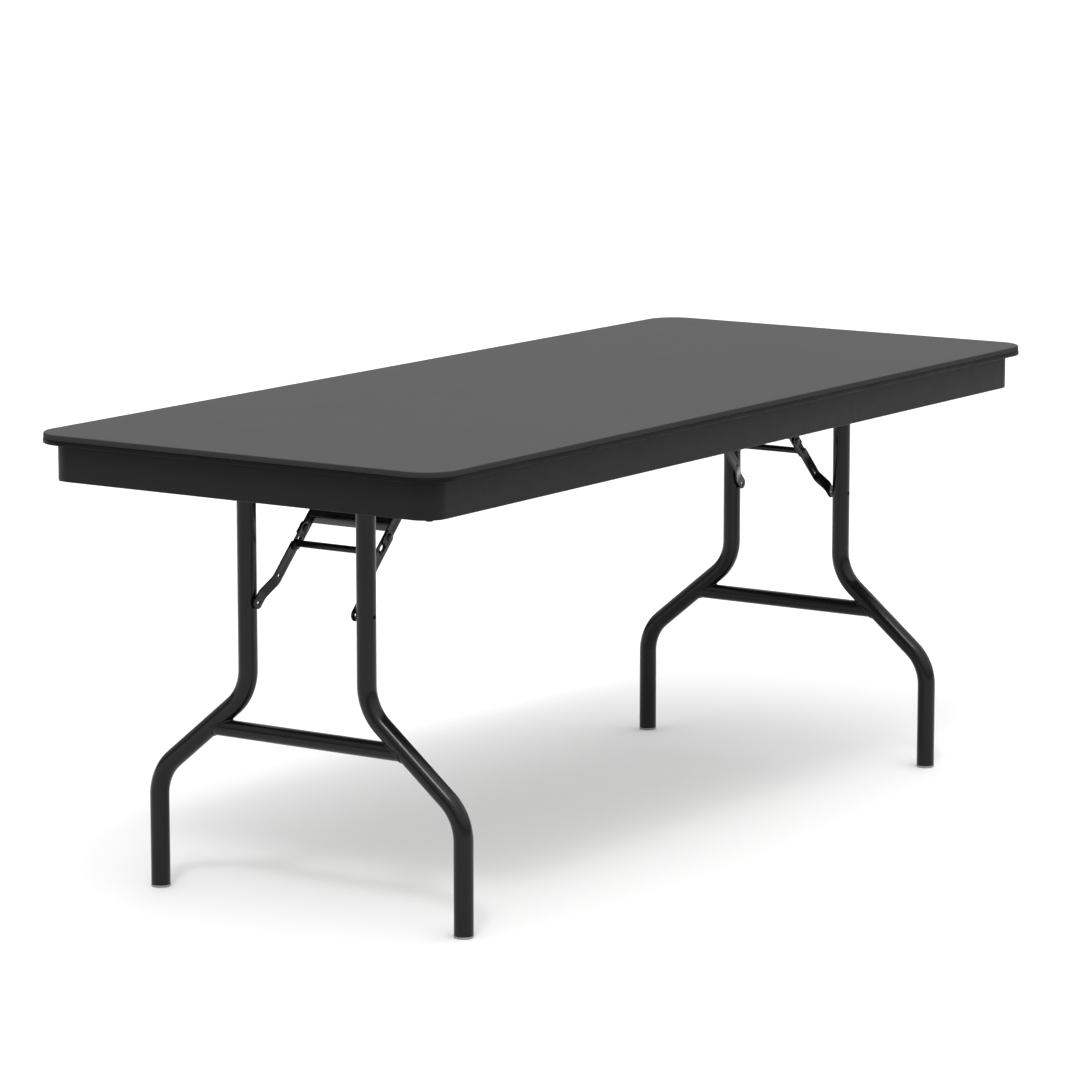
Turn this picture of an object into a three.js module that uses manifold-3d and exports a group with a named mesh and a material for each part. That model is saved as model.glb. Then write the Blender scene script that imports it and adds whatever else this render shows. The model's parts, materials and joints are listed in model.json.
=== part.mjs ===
// Folding table with two wishbone leg frames, each held open by a folding brace that locks
// with a drop bar. Millimetres, +Z up. The origin is on the floor under the middle of the
// table; X runs along the table, Y across it.
//
// Everything at one end is built once, for the left end (-X). The right end is the same
// group turned half a turn about Z, as the real frames are.

import * as THREE from 'three';
import { mergeVertices } from 'three/addons/utils/BufferGeometryUtils.js';
import Module from 'manifold-3d';

const wasm = await Module();
wasm.setup();

// ---------------------------------------------------------------- driving dimensions

const GAP = 0.3; // left between pieces that touch
const OVERRUN = 5; // how far a cutter runs past the faces that it cuts

const table = { length: 1828.8, width: 762, height: 740.7, cornerRadius: 54.5 };

const topPanel = { thickness: 9.3, edgeRadius: 2.4 };

const band = { depth: 7.2, proud: 0.7, width: 26, edgeRadius: 1.6 };

const boardThickness = 6.8;

const apron = {
  inset: { x: 19.6, y: 21.9 },
  bottom: 665.5,
  cornerRadius: 37,
  sheet: 2,
  edgeRadius: 2,
  topFlange: 16,
  bottomFlange: 11,
};

// Pad under each apron corner; inset is measured inward from the corner of the bottom flange.
const bumper = {
  radius: 5.5, headHeight: 1, edge: 0.5, stemRadius: 3.6, stemHeight: 5, inset: 6.2,
};

const leg = {
  x: -719, // plane of the upright frame
  pivotHeight: 680.2, // axis that the frame folds about
  stub: 20, // tube above that axis
  uprightY: 113.2,
  footY: 291.1,
  upperBend: 332, // heights where the tube's straight centre lines cross
  lowerBend: 185.3,
  bendRadius: 80.4,
  radius: 15.25,
  wall: 1.4,
};

const legSleeve = { wall: 1.2 }; // lines the leg's cross hole for the brace

const shaft = { radius: 9.5, wall: 1.5, halfLength: 139 };

const stretcher = { height: 271, radius: 13.5, wall: 1.3 };

const glide = { height: 3.6, edge: 0.8, plugHeight: 24 };

const brace = {
  angle: Math.PI / 4, // slope of the open brace
  legPivotHeight: 475.4, // where the lower arm meets the leg
  lowerLength: 147, // leg pivot to knee
  upperLength: 156.5, // knee to table pivot
  width: 20,
  sheet: 2.5,
  kneeY: 80, // the face where the two arms meet, from the middle of the table
  pinRadius: 4,
};

const slot = { offset: 1, near: 20, far: 31, radius: 3.3 }; // in the upper arm, from the knee

const bar = {
  radius: 5.5,
  collarRadius: 7,
  collarWidth: 2,
  neckRadius: 2.9,
  reach: 83.6,
  chamfer: 0.6,
  sideGap: 0.4,
};

const lowerArm = {
  headRadius: 10.5,
  notchStart: 16,
  notchEnd: 34.6, // radius about the knee
  notchCorner: 2,
  holeAt: 93,
  holeRadius: 2.4,
  joggleStart: 102,
  joggleEnd: 130,
  joggle: 11.3,
  tabHoleRadius: 2.5,
};

const web = { start: 16.5, end: 131.5 }; // plate between the upper arms, from the knee

const rivet = { headRadius: 6.5, headHeight: 2.6, dimpleRadius: 1.6, dimpleDepth: 1.8 };

const hingePlate = {
  length: 92, sheet: 2.5, cheekWidth: 46, cheekGap: 2, eyeRadius: 16, screwSpacing: 72,
};

const bush = { wall: 1.3, flangeRadius: 14, flange: 1.6 };

const braceBracket = {
  length: 46, earWidth: 26, sideGap: 0.6, eyeRadius: 9.5, screwX: 12, screwY: 46,
};

const braceRod = { headRadius: 6.5, headHeight: 2 };

const screw = {
  radius: 2.2,
  length: 8.8,
  headRadius: 4.6,
  headHeight: 2.3,
  crownRadius: 3.2,
  rimHeight: 1.15,
  recessRadius: 1.5,
  recessDepth: 1.2,
};

// ---------------------------------------------------------------- worked out from them

const boardTop = table.height - topPanel.thickness - GAP;
const board = { top: boardTop, bottom: boardTop - boardThickness };
const bandBottom = board.top - band.depth;
const plateTop = board.bottom - GAP;
const plateBottom = plateTop - hingePlate.sheet;
const plateMiddle = (plateTop + plateBottom) / 2;
const along = new THREE.Vector2(Math.cos(brace.angle), Math.sin(brace.angle));
const legPivot = new THREE.Vector2(leg.x, brace.legPivotHeight);
const knee = legPivot.clone().addScaledVector(along, brace.lowerLength);
const braceTop = knee.clone().addScaledVector(along, brace.upperLength);
const upperArm = { inner: brace.kneeY - GAP / 3 - brace.sheet, outer: brace.kneeY - GAP / 3 };
const lowerArmFace = { inner: brace.kneeY + GAP / 3, outer: brace.kneeY + GAP / 3 + brace.sheet };
const holeClearance = brace.pinRadius + GAP;

// ---------------------------------------------------------------- materials

const makeMaterial = (color, roughness, metalness) =>
  new THREE.MeshStandardMaterial({ color, roughness, metalness });

const finish = {
  top: () => makeMaterial(0x646466, 0.72, 0),
  rim: () => makeMaterial(0x3c3c3e, 0.6, 0),
  wood: () => makeMaterial(0x9c8260, 0.8, 0),
  apron: () => makeMaterial(0x37373a, 0.62, 0.1),
  frame: () => makeMaterial(0x2b2b2d, 0.42, 0.2),
  glide: () => makeMaterial(0x8f8f90, 0.5, 0),
  rubber: () => makeMaterial(0x29292a, 0.85, 0),
  nylon: () => makeMaterial(0xd8d6cf, 0.5, 0),
  zinc: () => makeMaterial(0xa8abae, 0.35, 0.9),
};

// ---------------------------------------------------------------- solids and booleans

function solidOf(geometry) {
  const bare = geometry.clone();
  bare.deleteAttribute('normal');
  bare.deleteAttribute('uv');
  const merged = mergeVertices(bare, 1e-4);
  return new wasm.Manifold(new wasm.Mesh({
    numProp: 3,
    vertProperties: new Float32Array(merged.attributes.position.array),
    triVerts: new Uint32Array(merged.index.array),
  }));
}

function geometryOf(solid) {
  const mesh = solid.getMesh();
  const geometry = new THREE.BufferGeometry();
  geometry.setAttribute('position', new THREE.BufferAttribute(mesh.vertProperties, 3));
  geometry.setIndex(new THREE.BufferAttribute(mesh.triVerts, 1));
  return geometry;
}

const join = (parts) => parts.map(solidOf).reduce((whole, part) => whole.add(part));

function shaped(parts, cutters = []) {
  const start = join(parts);
  return geometryOf(cutters.map(solidOf).reduce((whole, cutter) => whole.subtract(cutter), start));
}

function named(name, geometry, material) {
  const mesh = new THREE.Mesh(geometry, material);
  mesh.name = name;
  return mesh;
}

// ---------------------------------------------------------------- basic forms

function roundedRectangle(length, width, radius) {
  const x = length / 2 - radius;
  const y = width / 2 - radius;
  const shape = new THREE.Shape();
  shape.absarc(x, y, radius, 0, Math.PI / 2);
  shape.absarc(-x, y, radius, Math.PI / 2, Math.PI);
  shape.absarc(-x, -y, radius, Math.PI, 1.5 * Math.PI);
  shape.absarc(x, -y, radius, 1.5 * Math.PI, 2 * Math.PI);
  return shape;
}

// The table's outline moved inward (or outward, when negative) by an inset.
function tableOutline(inset) {
  return roundedRectangle(
    table.length - 2 * inset, table.width - 2 * inset, table.cornerRadius - inset);
}

function apronOutline(inset) {
  return roundedRectangle(
    table.length - 2 * (apron.inset.x + inset),
    table.width - 2 * (apron.inset.y + inset),
    apron.cornerRadius - inset);
}

// How finely round forms are stepped: per quarter or half turn of an outline, and per full turn
// of a turned piece.
const CORNER_STEPS = 4;
const OUTLINE_STEPS = 5;
const TURNED_SIDES = 12;
const SMALL_SIDES = 8;
const TUBE_SIDES = 14;
const BEND_STEPS = 4;

function slab(shape, bottom, top) {
  const geometry = new THREE.ExtrudeGeometry(
    shape, { depth: top - bottom, bevelEnabled: false, curveSegments: CORNER_STEPS });
  return geometry.translate(0, 0, bottom);
}

// A slab whose upper and lower edges are rounded; the shape is its widest outline.
function roundedSlab(shape, bottom, top, radius) {
  const geometry = new THREE.ExtrudeGeometry(shape, {
    depth: top - bottom - 2 * radius,
    bevelThickness: radius,
    bevelSize: radius,
    bevelOffset: -radius,
    bevelSegments: 2,
    curveSegments: CORNER_STEPS,
  });
  return geometry.translate(0, 0, bottom + radius);
}

// A shape drawn in X and Z, as thick as the stretch of Y that it is given.
function slabAcross(shape, fromY, toY) {
  const depth = Math.abs(toY - fromY);
  const geometry = new THREE.ExtrudeGeometry(
    shape, { depth, bevelEnabled: false, curveSegments: OUTLINE_STEPS });
  return geometry.rotateX(Math.PI / 2).translate(0, Math.max(fromY, toY), 0);
}

function box(x, y, z) {
  const geometry = new THREE.BoxGeometry(x[1] - x[0], y[1] - y[0], z[1] - z[0]);
  return geometry.translate((x[0] + x[1]) / 2, (y[0] + y[1]) / 2, (z[0] + z[1]) / 2);
}

function discShape(x, z, radius) {
  return new THREE.Shape().absarc(x, z, radius, 0, 2 * Math.PI);
}

// Two half circles joined by straight sides, lying along X.
function stadium(fromX, toX, z, radius) {
  const shape = new THREE.Shape();
  shape.absarc(toX, z, radius, -Math.PI / 2, Math.PI / 2);
  shape.absarc(fromX, z, radius, Math.PI / 2, 1.5 * Math.PI);
  return shape;
}

// A cutter for a round hole along Y. Its flats, not its corners, lie at the radius, so a pin fits.
function holeAcross(x, z, radius, fromY, toY) {
  const cornerRadius = radius / Math.cos(Math.PI / (2 * OUTLINE_STEPS));
  return slabAcross(discShape(x, z, cornerRadius), fromY, toY);
}

// A turned piece lying along Y: pairs of radius and Y.
function turned(profile, sides = TURNED_SIDES) {
  return new THREE.LatheGeometry(profile.map(([r, y]) => new THREE.Vector2(r, y)), sides);
}

// The same standing along Z: pairs of radius and Z.
function turnedUpright(profile, sides = TURNED_SIDES) {
  return turned(profile, sides).rotateX(Math.PI / 2);
}

// A cutter for a round hole along Z.
function holeUpright({ x, y }, radius, bottom, top) {
  const profile = [[0, bottom], [radius, bottom], [radius, top], [0, top]];
  return turnedUpright(profile, SMALL_SIDES).translate(x, y, 0);
}

// The profile of a domed head that stands on a flat face: pairs of radius and height.
function dome(radius, height) {
  const steps = 3;
  return Array.from({ length: steps + 1 }, (_, step) => {
    const angle = (step * Math.PI) / (2 * steps);
    return [radius * Math.cos(angle), height * Math.sin(angle)];
  });
}

// A turned piece that is the same on both sides of Y = 0: its outline from the middle outward.
function turnedBothWays(half) {
  const mirrored = half.map(([r, y]) => [r, -y]).reverse();
  return turned([...mirrored, ...half]);
}

// ---------------------------------------------------------------- tubes

// A path given by its own stations, so that a straight run costs one step and a bend several.
class StationPath extends THREE.Curve {
  constructor(stations) {
    super();
    this.stations = stations;
  }

  getUtoTmapping(u) {
    return u;
  }

  getPoint(t, target = new THREE.Vector3()) {
    const place = t * (this.stations.length - 1);
    const index = Math.min(Math.floor(place), this.stations.length - 2);
    const [from, to] = [this.stations[index], this.stations[index + 1]];
    return target.lerpVectors(from, to, place - index);
  }
}

// Stations of a path whose corners are rounded by arcs of one radius.
function roundedStations(corners, radius, stepsPerBend) {
  const stations = [corners[0]];
  for (let i = 1; i < corners.length - 1; i += 1) {
    const back = corners[i - 1].clone().sub(corners[i]).normalize();
    const ahead = corners[i + 1].clone().sub(corners[i]).normalize();
    const halfAngle = back.angleTo(ahead) / 2;
    const centre = back.clone().add(ahead).normalize()
      .multiplyScalar(radius / Math.sin(halfAngle)).add(corners[i]);
    const start = back.clone().multiplyScalar(radius / Math.tan(halfAngle)).add(corners[i]);
    const spoke = start.clone().sub(centre);
    const turnAxis = ahead.clone().cross(back).normalize();
    const turn = Math.PI - 2 * halfAngle;
    for (let step = 0; step <= stepsPerBend; step += 1) {
      const swung = spoke.clone().applyAxisAngle(turnAxis, (turn * step) / stepsPerBend);
      stations.push(swung.add(centre));
    }
  }
  stations.push(corners[corners.length - 1]);
  return stations;
}

function rodAlong(stations, radius) {
  return new THREE.ExtrudeGeometry(discShape(0, 0, radius), {
    steps: stations.length - 1,
    extrudePath: new StationPath(stations),
    curveSegments: TUBE_SIDES / 2,
  });
}

function tubeAlong(stations, radius, wall) {
  const section = discShape(0, 0, radius);
  section.holes.push(new THREE.Path().absarc(0, 0, radius - wall, 0, 2 * Math.PI));
  return new THREE.ExtrudeGeometry(section, {
    steps: stations.length - 1,
    extrudePath: new StationPath(stations),
    curveSegments: TUBE_SIDES / 2,
  });
}

// ---------------------------------------------------------------- tabletop

function makeTopPanel() {
  const bottom = table.height - topPanel.thickness;
  const rounded = roundedSlab(tableOutline(0), bottom - OVERRUN, table.height, topPanel.edgeRadius);
  const below = slab(tableOutline(-OVERRUN), bottom - 2 * OVERRUN, bottom);
  return named('top_panel', shaped([rounded], [below]), finish.top());
}

function makeEdgeBand() {
  const outside = roundedSlab(tableOutline(-band.proud), bandBottom, board.top, band.edgeRadius);
  const inside = slab(tableOutline(band.width), bandBottom - OVERRUN, board.top + OVERRUN);
  return named('edge_band', shaped([outside], [inside]), finish.rim());
}

function makeCoreBoard(screwPlaces) {
  const plate = slab(tableOutline(band.width + GAP), board.bottom, board.top);
  const pilots = screwPlaces.map((place) => holeUpright(
    place, screw.radius + GAP, board.bottom - OVERRUN, board.top + OVERRUN));
  return named('core_board', shaped([plate], pilots), finish.wood());
}

function cornerPlaces() {
  const reach = apron.cornerRadius - bumper.inset;
  const x = table.length / 2 - apron.inset.x - apron.cornerRadius + reach * Math.SQRT1_2;
  const y = table.width / 2 - apron.inset.y - apron.cornerRadius + reach * Math.SQRT1_2;
  return [
    { corner: 'front_left', x: -x, y: -y },
    { corner: 'front_right', x, y: -y },
    { corner: 'back_left', x: -x, y },
    { corner: 'back_right', x, y },
  ];
}

// A bent sheet ring: an outer wall with a flange turned in at its top and at its bottom.
function makeApron() {
  const top = bandBottom - GAP;
  const [below, within] = [apron.bottom - OVERRUN, apron.bottom + OVERRUN];
  const outside = roundedSlab(apronOutline(0), apron.bottom, top + OVERRUN, apron.edgeRadius);
  const above = slab(apronOutline(-OVERRUN), top, top + 2 * OVERRUN);
  const cavity = slab(apronOutline(apron.sheet), apron.bottom + apron.sheet, top - apron.sheet);
  const topMouth = slab(apronOutline(apron.topFlange), top - OVERRUN, top + OVERRUN);
  const bottomMouth = slab(apronOutline(apron.bottomFlange), below, within);
  const sockets = cornerPlaces().map((place) => holeUpright(
    place, bumper.stemRadius + GAP, below, within));
  return named('apron', shaped([outside], [above, cavity, topMouth, bottomMouth, ...sockets]),
    finish.apron());
}

function makeBumper({ corner, x, y }) {
  const bottom = apron.bottom - GAP - bumper.headHeight;
  const profile = [
    [0, bottom],
    [bumper.radius - bumper.edge, bottom],
    [bumper.radius, bottom + bumper.edge],
    [bumper.radius, bottom + bumper.headHeight],
    [bumper.stemRadius, bottom + bumper.headHeight],
    [bumper.stemRadius, bottom + bumper.headHeight + bumper.stemHeight],
    [0, bottom + bumper.headHeight + bumper.stemHeight],
  ];
  return named(`stack_pad_${corner}`, turnedUpright(profile).translate(x, y, 0), finish.rubber());
}

// ---------------------------------------------------------------- leg frame

// Each end's builders take the side they make, -1 or 1 in Y, and the words for its names.

function legCorners(side) {
  return [
    new THREE.Vector3(leg.x, side * leg.uprightY, leg.pivotHeight + leg.stub),
    new THREE.Vector3(leg.x, side * leg.uprightY, leg.upperBend),
    new THREE.Vector3(leg.x, side * leg.footY, leg.lowerBend),
    new THREE.Vector3(leg.x, side * leg.footY, glide.height + GAP),
  ];
}

const legStations = (side) => roundedStations(legCorners(side), leg.bendRadius, BEND_STEPS);

function makeLeg(side, name) {
  const tube = tubeAlong(legStations(side), leg.radius, leg.wall);
  const inner = side * (leg.uprightY - 2 * leg.radius);
  const outer = side * (leg.uprightY + 2 * leg.radius);
  const shaftHole = holeAcross(leg.x, leg.pivotHeight, shaft.radius + GAP, inner, outer);
  const pivotHole = holeAcross(leg.x, brace.legPivotHeight, brace.pinRadius + GAP, inner, outer);
  return named(name, shaped([tube], [shaftHole, pivotHole]), finish.frame());
}

// Hollow rivet that lines the leg's cross hole for the brace. Its ends stay inside the tube's
// sides, clear of the lower arm's tab.
function makeLegPivotSleeve(side, name) {
  const near = leg.uprightY - leg.radius + GAP;
  const far = leg.uprightY + leg.radius - GAP;
  const bore = brace.pinRadius - legSleeve.wall;
  const profile = [
    [bore, near], [brace.pinRadius, near], [brace.pinRadius, far], [bore, far], [bore, near],
  ];
  const sleeve = turned(profile, SMALL_SIDES).rotateX(side < 0 ? Math.PI : 0);
  return named(name, sleeve.translate(leg.x, 0, brace.legPivotHeight), finish.frame());
}

function makeShaft(name) {
  const bore = shaft.radius - shaft.wall;
  const profile = [
    [bore, -shaft.halfLength], [shaft.radius, -shaft.halfLength],
    [shaft.radius, shaft.halfLength], [bore, shaft.halfLength], [bore, -shaft.halfLength],
  ];
  return named(name, turned(profile).translate(leg.x, 0, leg.pivotHeight), finish.frame());
}

// A tube between the slanted stretches of the two legs, its ends shaped to meet them.
function makeStretcher(name) {
  const reach = leg.footY;
  const bore = stretcher.radius - stretcher.wall;
  const tube = turned([
    [bore, -reach], [stretcher.radius, -reach], [stretcher.radius, reach], [bore, reach],
    [bore, -reach],
  ], TUBE_SIDES).translate(leg.x, 0, stretcher.height);
  const copes = [-1, 1].map((side) => rodAlong(legStations(side), leg.radius + GAP));
  const beyond = [-1, 1].map((side) => beyondLeg(side));
  return named(name, shaped([tube], [...copes, ...beyond]), finish.frame());
}

// The space outside the slanted stretch of a leg, in the plane of the frame.
function beyondLeg(side) {
  const outline = new THREE.Shape();
  outline.moveTo(leg.uprightY, leg.upperBend);
  outline.lineTo(leg.footY, leg.lowerBend);
  outline.lineTo(leg.footY + OVERRUN, leg.lowerBend);
  outline.lineTo(leg.footY + OVERRUN, leg.upperBend);
  const depth = 4 * stretcher.radius;
  const solid = new THREE.ExtrudeGeometry(outline, { depth, bevelEnabled: false });
  solid.applyMatrix4(new THREE.Matrix4().makeBasis(
    new THREE.Vector3(0, 1, 0), new THREE.Vector3(0, 0, 1), new THREE.Vector3(1, 0, 0)));
  if (side < 0) solid.rotateZ(Math.PI).translate(depth, 0, 0);
  return solid.translate(leg.x - depth / 2, 0, 0);
}

function makeGlide(side, name) {
  const plug = leg.radius - leg.wall - GAP;
  const profile = [
    [0, 0],
    [leg.radius - glide.edge, 0],
    [leg.radius, glide.edge],
    [leg.radius, glide.height],
    [plug, glide.height],
    [plug, glide.plugHeight],
    [0, glide.plugHeight],
  ];
  const turnedGlide = turnedUpright(profile, TUBE_SIDES);
  return named(name, turnedGlide.translate(leg.x, side * leg.footY, 0), finish.glide());
}

// ---------------------------------------------------------------- hinge fixed to the tabletop

const cheekY = {
  inner: leg.uprightY - leg.radius - hingePlate.cheekGap,
  outer: leg.uprightY + leg.radius + hingePlate.cheekGap,
};

// A cheek that narrows from the plate to a round eye.
function eyeShape(x, z, radius, halfWidthAbove, above) {
  const shape = new THREE.Shape();
  shape.absarc(x, z, radius, Math.PI, 2 * Math.PI);
  shape.lineTo(x + halfWidthAbove, above);
  shape.lineTo(x - halfWidthAbove, above);
  return shape;
}

function makeHingeBracket(side, name) {
  const sheet = hingePlate.sheet;
  const [low, high] = [cheekY.inner - sheet, cheekY.outer + sheet];
  const plate = box(
    [leg.x - hingePlate.length / 2, leg.x + hingePlate.length / 2],
    side > 0 ? [low, high] : [-high, -low],
    [plateBottom, plateTop]);
  const eye = eyeShape(
    leg.x, leg.pivotHeight, hingePlate.eyeRadius, hingePlate.cheekWidth / 2, plateMiddle);
  const innerCheek = slabAcross(eye, side * low, side * cheekY.inner);
  const outerCheek = slabAcross(eye, side * cheekY.outer, side * high);
  const hole = (radius, cheek) => holeAcross(
    leg.x, leg.pivotHeight, radius, side * (cheek - OVERRUN), side * (cheek + OVERRUN));
  const cutters = [
    hole(shaft.radius + GAP, low),
    hole(shaft.radius + 2 * GAP + bush.wall, high),
    ...hingeScrewPlaces(side).map(screwHole),
  ];
  return named(name, shaped([plate, innerCheek, outerCheek], cutters), finish.frame());
}

function makeBush(side, name) {
  const bore = (shaft.radius + GAP) / Math.cos(Math.PI / TURNED_SIDES);
  const outside = shaft.radius + GAP + bush.wall;
  const near = cheekY.outer;
  const face = cheekY.outer + hingePlate.sheet + GAP;
  const profile = [
    [bore, near], [outside, near], [outside, face], [bush.flangeRadius, face],
    [bush.flangeRadius, face + bush.flange], [bore, face + bush.flange], [bore, near],
  ];
  const turnedBush = turned(profile).rotateX(side < 0 ? Math.PI : 0);
  return named(name, turnedBush.translate(leg.x, 0, leg.pivotHeight), finish.nylon());
}

// ---------------------------------------------------------------- screws

function hingeScrewPlaces(side) {
  const reach = hingePlate.screwSpacing / 2;
  return [-reach, reach].map((offset) => ({ x: leg.x + offset, y: side * leg.uprightY }));
}

function braceScrewPlaces() {
  const x = braceTop.x + braceBracket.screwX;
  return [-1, 1].map((side) => ({ x, y: side * braceBracket.screwY }));
}

function screwHole(place) {
  return holeUpright(place, screw.radius + GAP, plateBottom - OVERRUN, plateTop + OVERRUN);
}

// Pan head under the plate, shank up into the board, and a round recess in the head.
function makeScrew({ x, y }, name) {
  const face = plateBottom - GAP;
  const crown = face - screw.headHeight;
  const profile = [
    [0, crown + screw.recessDepth],
    [screw.recessRadius, crown + screw.recessDepth],
    [screw.recessRadius, crown],
    [screw.crownRadius, crown],
    [screw.headRadius, face - screw.rimHeight],
    [screw.headRadius, face],
    [screw.radius, face],
    [screw.radius, face + screw.length],
    [0, face + screw.length],
  ];
  return named(name, turnedUpright(profile, SMALL_SIDES).translate(x, y, 0), finish.zinc());
}

// ---------------------------------------------------------------- folding brace

// The brace's pieces are drawn along the open brace: X from the knee towards the table pivot,
// Z square to it. braceFrame places that drawing at the knee, on the slope.
function braceFrame() {
  const frame = new THREE.Group();
  frame.position.set(knee.x, 0, knee.y);
  frame.rotation.y = -brace.angle;
  return frame;
}

function slotCutter(y) {
  return slabAcross(stadium(-slot.far, -slot.near, slot.offset, slot.radius), -y, y);
}

// Two arms, a web along their upper edges and a lip that closes the web's lower end.
function makeUpperBrace(name) {
  const half = brace.width / 2;
  const outline = stadium(-slot.far, brace.upperLength, 0, half);
  const arms = [-1, 1].map(
    (side) => slabAcross(outline, side * upperArm.inner, side * upperArm.outer));
  const middleOfArm = (upperArm.inner + upperArm.outer) / 2;
  const acrossArms = [-middleOfArm, middleOfArm];
  const plate = box([web.start, web.end], acrossArms, [half - brace.sheet, half]);
  const lip = box([web.start, web.start + brace.sheet], acrossArms, [-half, half]);
  const reach = upperArm.outer + OVERRUN;
  const holes = [0, brace.upperLength].map((x) => holeAcross(x, 0, holeClearance, -reach, reach));
  return named(name, shaped([...arms, plate, lip], [slotCutter(reach), ...holes]), finish.frame());
}

// Seen from the side: flat along the upper arm, then stepping out towards the leg.
function joggledProfile() {
  const inner = lowerArmFace.inner;
  const slope = Math.atan2(lowerArm.joggle, lowerArm.joggleEnd - lowerArm.joggleStart);
  const shift = brace.sheet * Math.tan(slope / 2);
  const far = brace.lowerLength + brace.width;
  const profile = new THREE.Shape();
  profile.moveTo(brace.width, inner);
  profile.lineTo(brace.width, inner + brace.sheet);
  profile.lineTo(-lowerArm.joggleStart + shift, inner + brace.sheet);
  profile.lineTo(-lowerArm.joggleEnd + shift, inner + brace.sheet + lowerArm.joggle);
  profile.lineTo(-far, inner + brace.sheet + lowerArm.joggle);
  profile.lineTo(-far, inner + lowerArm.joggle);
  profile.lineTo(-lowerArm.joggleEnd, inner + lowerArm.joggle);
  profile.lineTo(-lowerArm.joggleStart, inner);
  return profile;
}

// The notch that the drop bar falls into. Its far wall follows the bar's path about the knee.
function notchShape() {
  const floor = slot.offset - slot.radius;
  const { notchStart: start, notchEnd: end, notchCorner: corner } = lowerArm;
  const topAngle = Math.PI - Math.asin(brace.width / end);
  const floorAngle = Math.PI - Math.asin(floor / end);
  const shape = new THREE.Shape();
  shape.absarc(-start - corner, floor + corner, corner, 1.5 * Math.PI, 2 * Math.PI);
  shape.lineTo(-start, brace.width);
  shape.absarc(0, 0, end, topAngle, floorAngle);
  return shape;
}

function makeLowerArm(side, name) {
  const half = brace.width / 2;
  const depth = 2 * brace.width;
  const sheet = new THREE.ExtrudeGeometry(joggledProfile(), { depth, bevelEnabled: false });
  sheet.translate(0, 0, -depth / 2);
  const low = lowerArmFace.inner - OVERRUN;
  const high = lowerArmFace.outer + lowerArm.joggle + OVERRUN;
  const length = slabAcross(stadium(-brace.lowerLength, 0, 0, half), low, high);
  const head = slabAcross(discShape(0, 0, lowerArm.headRadius), low, high);
  const cutters = [
    slabAcross(notchShape(), low, high),
    holeAcross(0, 0, holeClearance, low, high),
    holeAcross(-lowerArm.holeAt, 0, lowerArm.holeRadius, low, high),
    holeAcross(-brace.lowerLength, 0, lowerArm.tabHoleRadius, low, high),
  ];
  const arm = solidOf(sheet).intersect(join([length, head]));
  const cut = cutters.map(solidOf).reduce((whole, cutter) => whole.subtract(cutter), arm);
  return named(name, mirroredInY(geometryOf(cut), side), finish.frame());
}

// The piece as it is for side 1, and its mirror image for side -1.
function mirroredInY(geometry, side) {
  if (side > 0) return geometry;
  geometry.scale(1, -1, 1);
  const index = geometry.index.array;
  for (let i = 0; i < index.length; i += 3) {
    [index[i], index[i + 1]] = [index[i + 1], index[i]];
  }
  return geometry;
}

// Two heads and a shank, with the small hollow that a set rivet shows on its inner head.
function makeKneeRivet(side, name) {
  const inside = upperArm.inner - GAP;
  const outside = lowerArmFace.outer + GAP;
  const crown = inside - rivet.headHeight;
  const head = dome(rivet.headRadius, rivet.headHeight);
  const innerHead = head.slice(0, -1).reverse();
  const profile = [
    [0, crown + rivet.dimpleDepth],
    [rivet.dimpleRadius, crown + rivet.dimpleDepth],
    [rivet.dimpleRadius, crown],
    ...innerHead.map(([r, height]) => [r, inside - height]),
    [brace.pinRadius, inside],
    [brace.pinRadius, outside],
    ...head.map(([r, height]) => [r, outside + height]),
  ];
  return named(name, turned(profile).rotateX(side < 0 ? Math.PI : 0), finish.frame());
}

// The drop bar: thick between its collars, with necks that ride in the upper arms' slots.
function makeDropBar(name) {
  const shoulder = upperArm.inner - bar.sideGap;
  const dropBar = turnedBothWays([
    [bar.radius, shoulder - bar.collarWidth],
    [bar.collarRadius, shoulder - bar.collarWidth],
    [bar.collarRadius, shoulder],
    [bar.neckRadius, shoulder],
    [bar.neckRadius, bar.reach - bar.chamfer],
    [bar.neckRadius - bar.chamfer, bar.reach],
    [0, bar.reach],
  ]);
  return named(name, dropBar.translate(-slot.far, 0, slot.offset), finish.frame());
}

function makeBraceBracket(name) {
  const ear = upperArm.inner - braceBracket.sideGap;
  const plate = box(
    [braceTop.x - braceBracket.length / 2, braceTop.x + braceBracket.length / 2],
    [-ear, ear], [plateBottom, plateTop]);
  const eye = eyeShape(
    braceTop.x, braceTop.y, braceBracket.eyeRadius, braceBracket.earWidth / 2, plateMiddle);
  const ears = [-1, 1].map((side) => slabAcross(eye, side * (ear - hingePlate.sheet), side * ear));
  const reach = ear + OVERRUN;
  const rodHole = holeAcross(braceTop.x, braceTop.y, holeClearance, -reach, reach);
  const screwHoles = braceScrewPlaces().map(screwHole);
  return named(name, shaped([plate, ...ears], [rodHole, ...screwHoles]), finish.frame());
}

function makeBraceRod(name) {
  const face = upperArm.outer + GAP;
  const head = dome(braceRod.headRadius, braceRod.headHeight);
  const rod = turnedBothWays([
    [brace.pinRadius, face],
    ...head.map(([r, height]) => [r, face + height]),
  ]);
  return named(name, rod.translate(braceTop.x, 0, braceTop.y), finish.zinc());
}

// ---------------------------------------------------------------- one end of the table

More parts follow.
